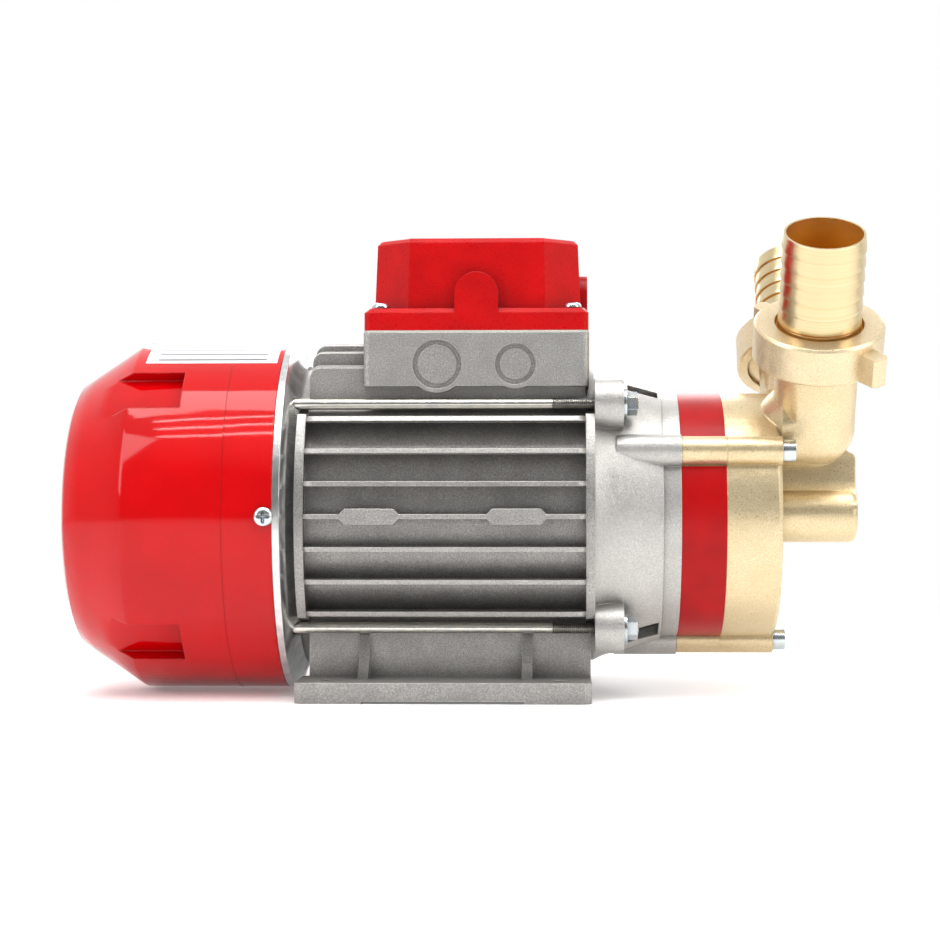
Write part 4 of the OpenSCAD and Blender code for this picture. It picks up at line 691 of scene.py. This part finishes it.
def blasted_brass(name, dark, mid, light):
    """Sand cast brass, blasted: a pale satin gold with the sand's grain, and painted shade that darkens its
    corners
    """
    made, tree = material(name)
    sand = grain(tree, 0.5, 3.0, 0.6)
    cloud = grain(tree, 11.0, 3.0, 0.5)
    colour = ramp(tree, sand, [(0.3, dark), (0.5, mid), (0.72, light)])
    colour = blend(tree, spread(tree, cloud, 0.35, 0.7, 0.0, 0.35), colour, dark)
    # painted shade: the colour darkens towards #8A6E40 where corners shut out the light
    colour = blend(tree, spread(tree, hollow(tree, 8.0), 0.25, 0.95, 0.5, 0.0), colour, "#8A6E40")
    uneven = bumps(tree, grain(tree, 4.5, 3.0), 0.24, rounded(tree, 0.8))
    surface(tree, color=colour, metal=0.75, rough=spread(tree, sand, 0.3, 0.7, 0.26, 0.42),
            normal=bumps(tree, sand, 0.035, uneven))
    return made


cast_brass = blasted_brass("blasted_brass_casting", "#CFB98F", "#DDCAA2", "#ECDEC0")
copy_of("pump_body", "brass_ring", cast_brass, "cast_brass")


# ---------------------------------------------------------------------------
# Red strips: three bands of thin sheet, sprayed red and bent round the brass
# ring between its bosses.

def red_lacquer():
    """Sprayed lacquer on sheet: an even, satin red with a slight orange peel"""
    made, tree = material("satin_red_lacquer")
    peel = grain(tree, 1.6, 1.0, 0.4)
    colour = blend(tree, spread(tree, grain(tree, 12.0), 0.3, 0.7), "#B00206", "#9E0105")
    surface(tree, color=colour, metal=0.0, rough=0.34, specular=0.22,
            normal=bumps(tree, peel, 0.02, rounded(tree, 0.3)))
    return made


copy_of("red_strips", "lacquered_strips", red_lacquer(), "red_coat")


# ---------------------------------------------------------------------------
# Pump cover: the brass casting with the two ports that open in a V. It is
# blasted like the ring, and three socket cap screws hold it.

copy_of("pump_cover", "port_casting", cast_brass, "cast_brass", 38)
copy_of("pump_bolts", "socket_screws", zinc_finish, "zinc_steel")


# ---------------------------------------------------------------------------
# Hose tails and union nuts: the tails are turned from brass bar, with barbs,
# and each is held by a two lugged nut cast in brass.

def turned_brass(name, axis):
    """Brass bar off the lathe: bright gold with fine rings round its axis, and a painted warm glow of bounced
    light in the bore
    """
    made, tree = material(name)
    spot = put(tree, "ShaderNodeTexCoord").outputs["Object"]
    height = put(tree, "ShaderNodeVectorMath", {0: spot, 1: axis}, operation="DOT_PRODUCT").outputs["Value"]
    line = put(tree, "ShaderNodeCombineXYZ", {"X": height, "Y": 0.0, "Z": 0.0}).outputs[0]
    # feed marks: bands about 1 mm wide with finer ones in them, coarser than the real 0.1 mm, to show
    tint = put(tree, "ShaderNodeTexNoise", {"Vector": line, "Scale": 900.0, "Detail": 4.0,
                                            "Roughness": 0.75}).outputs["Fac"]
    colour = ramp(tree, tint, [(0.3, "#CFB988"), (0.7, "#E0CFAA")])
    # 45 mm reaches across the bore and past its mouth, so the bore and the gap in the nut are shut in
    shut_in = spread(tree, hollow(tree, 45.0), 0.32, 0.55, 1.0, 0.0)
    # painted light: the colour is blended to a warm orange where the bore is shut in, standing for light
    # bounced round inside it
    colour = blend(tree, shut_in, colour, "#E09A22")
    # deep in the bore the light has met the wall many times, so it reads as a warm glow and less as a mirror
    mirror = spread(tree, shut_in, 0.0, 1.0, 1.0, 0.3)
    surface(tree, color=colour, metal=mirror, rough=0.24, normal=bumps(tree, tint, 0.02, rounded(tree, 0.2)))
    return made


bar_brass = turned_brass("turned_brass_bar", (1, 0, 0))
nut_brass = blasted_brass("blasted_brass_nut", "#D2BD94", "#DFCCA8", "#EDDFC4")


def nitrile():
    """Moulded nitrile rubber: dull black with a faint bloom"""
    made, tree = material("nitrile_rubber")
    bloom = grain(tree, 1.5, 3.0, 0.6)
    colour = ramp(tree, bloom, [(0.3, "#161616"), (0.7, "#2A2A2B")])
    surface(tree, color=colour, metal=0.0, rough=0.62, specular=0.4, normal=bumps(tree, bloom, 0.02))
    return made


black_rubber = nitrile()
# the ports lean 30 degrees out from upright, the near one towards the camera
for side, tail_axis in (("near", (0, -0.5, 0.866)), ("far", (0, 0.5, 0.866))):
    tail_brass = turned_brass(side + "_turned_brass", tail_axis)
    copy_of(side + "_hose_tail", side + "_barbed_tail", tail_brass, "turned_brass")
    copy_of(side + "_union_nut", side + "_lug_nut", nut_brass, "cast_brass")


# ---------------------------------------------------------------------------
# Inside the pump and motor: parts that no one sees until it is taken apart.
# They keep their CAD shapes and take the finish that each is bought in.

def coat(finish, *nodes):
    """Gives carried-over CAD nodes their material"""
    for node in nodes:
        mesh = frame["nodes"][node].data
        mesh.materials.clear()
        mesh.materials.append(finish)


def steel(name, dark, light, rough):
    """Hardened or ground steel: a mirror with faint clouds, and a skin finer than one can feel"""
    made, tree = material(name)
    tint = grain(tree, 3.0, 3.0, 0.6)
    colour = ramp(tree, tint, [(0.3, dark), (0.7, light)])
    surface(tree, color=colour, metal=1.0, rough=rough, normal=bumps(tree, grain(tree, 0.4), 0.01))
    return made


def stamped_laminations():
    """A stack of steel stampings, dark and blued, with a line between one sheet and the next"""
    made, tree = material("stamped_laminations")
    # the real sheets are 0.5 mm thick, and are drawn 1 mm thick so that they show
    sheets = rings(tree, 1.0)
    colour = ramp(tree, sheets, [(0.1, "#2E2F33"), (0.5, "#5B5D63")])
    surface(tree, color=colour, metal=0.9, rough=0.45, normal=bumps(tree, sheets, 0.05))
    return made


def plastic(name, dark, light, rough, cell_mm=5.0):
    """A moulded or pressed part: two close tones in soft clouds cell_mm wide, and a fine skin"""
    made, tree = material(name)
    tint = grain(tree, cell_mm, 2.0, 0.5)
    colour = ramp(tree, tint, [(0.3, dark), (0.7, light)])
    surface(tree, color=colour, metal=0.0, rough=rough, specular=0.5,
            normal=bumps(tree, grain(tree, 0.8), 0.01))
    return made


def enamelled_wire():
    """Enamelled copper wire 0.9 mm thick, wound round the bore and varnished"""
    made, tree = material("enamelled_copper_wire")
    # a wave texture at scale 1 repeats every 2 pi / 20, so 350 a metre makes it repeat every 0.9 mm
    spot = put(tree, "ShaderNodeMapping", {"Vector": put(tree, "ShaderNodeTexCoord").outputs["Object"],
                                           "Scale": (350, 350, 350)}).outputs[0]
    turns = put(tree, "ShaderNodeTexWave", {"Vector": spot, "Scale": 1.0, "Distortion": 4.0,
                                            "Detail": 1.0}).outputs["Fac"]
    colour = ramp(tree, turns, [(0.1, "#6B2E12"), (0.6, "#C4703A")])
    surface(tree, color=colour, metal=0.7, rough=0.3, normal=bumps(tree, turns, 0.3))
    return made


ground_steel = steel("ground_bearing_steel", "#B9BBBF", "#D9DADC", 0.14)
spring_steel = steel("blued_spring_steel", "#3E434C", "#6C7078", 0.35)
coat(stamped_laminations(), "stator_core", "rotor_core")
coat(enamelled_wire(), "stator_windings")
coat(bright_finish, "rotor_cage")
coat(ground_steel, "motor_shaft", "rear_bearing_outer", "rear_bearing_inner", "rear_bearing_balls",
     "front_bearing_outer", "front_bearing_inner", "front_bearing_balls")
coat(bar_brass, "rear_bearing_cage", "front_bearing_cage", "terminal_studs", "impeller")
coat(spring_steel, "preload_washer", "fan_circlip", "impeller_key")
coat(plastic("moulded_black_nylon", "#161718", "#26282A", 0.4), "cooling_fan")
coat(black_rubber, "slinger_ring", "seal_bellows", "cover_o_ring", "near_port_gasket", "far_port_gasket")
coat(plastic("pressed_phenolic_board", "#5A3A22", "#6E4A2C", 0.45, 1.5), "terminal_board")
coat(plastic("white_polypropylene", "#D9D8D2", "#ECEBE6", 0.35), "run_capacitor")
coat(zinc_finish, "earth_screw")
coat(plastic("lapped_alumina", "#E4DFD2", "#F2EEE4", 0.2, 2.0), "seal_seat")
coat(plastic("lapped_carbon", "#1B1B1D", "#303033", 0.3, 1.0), "seal_ring")
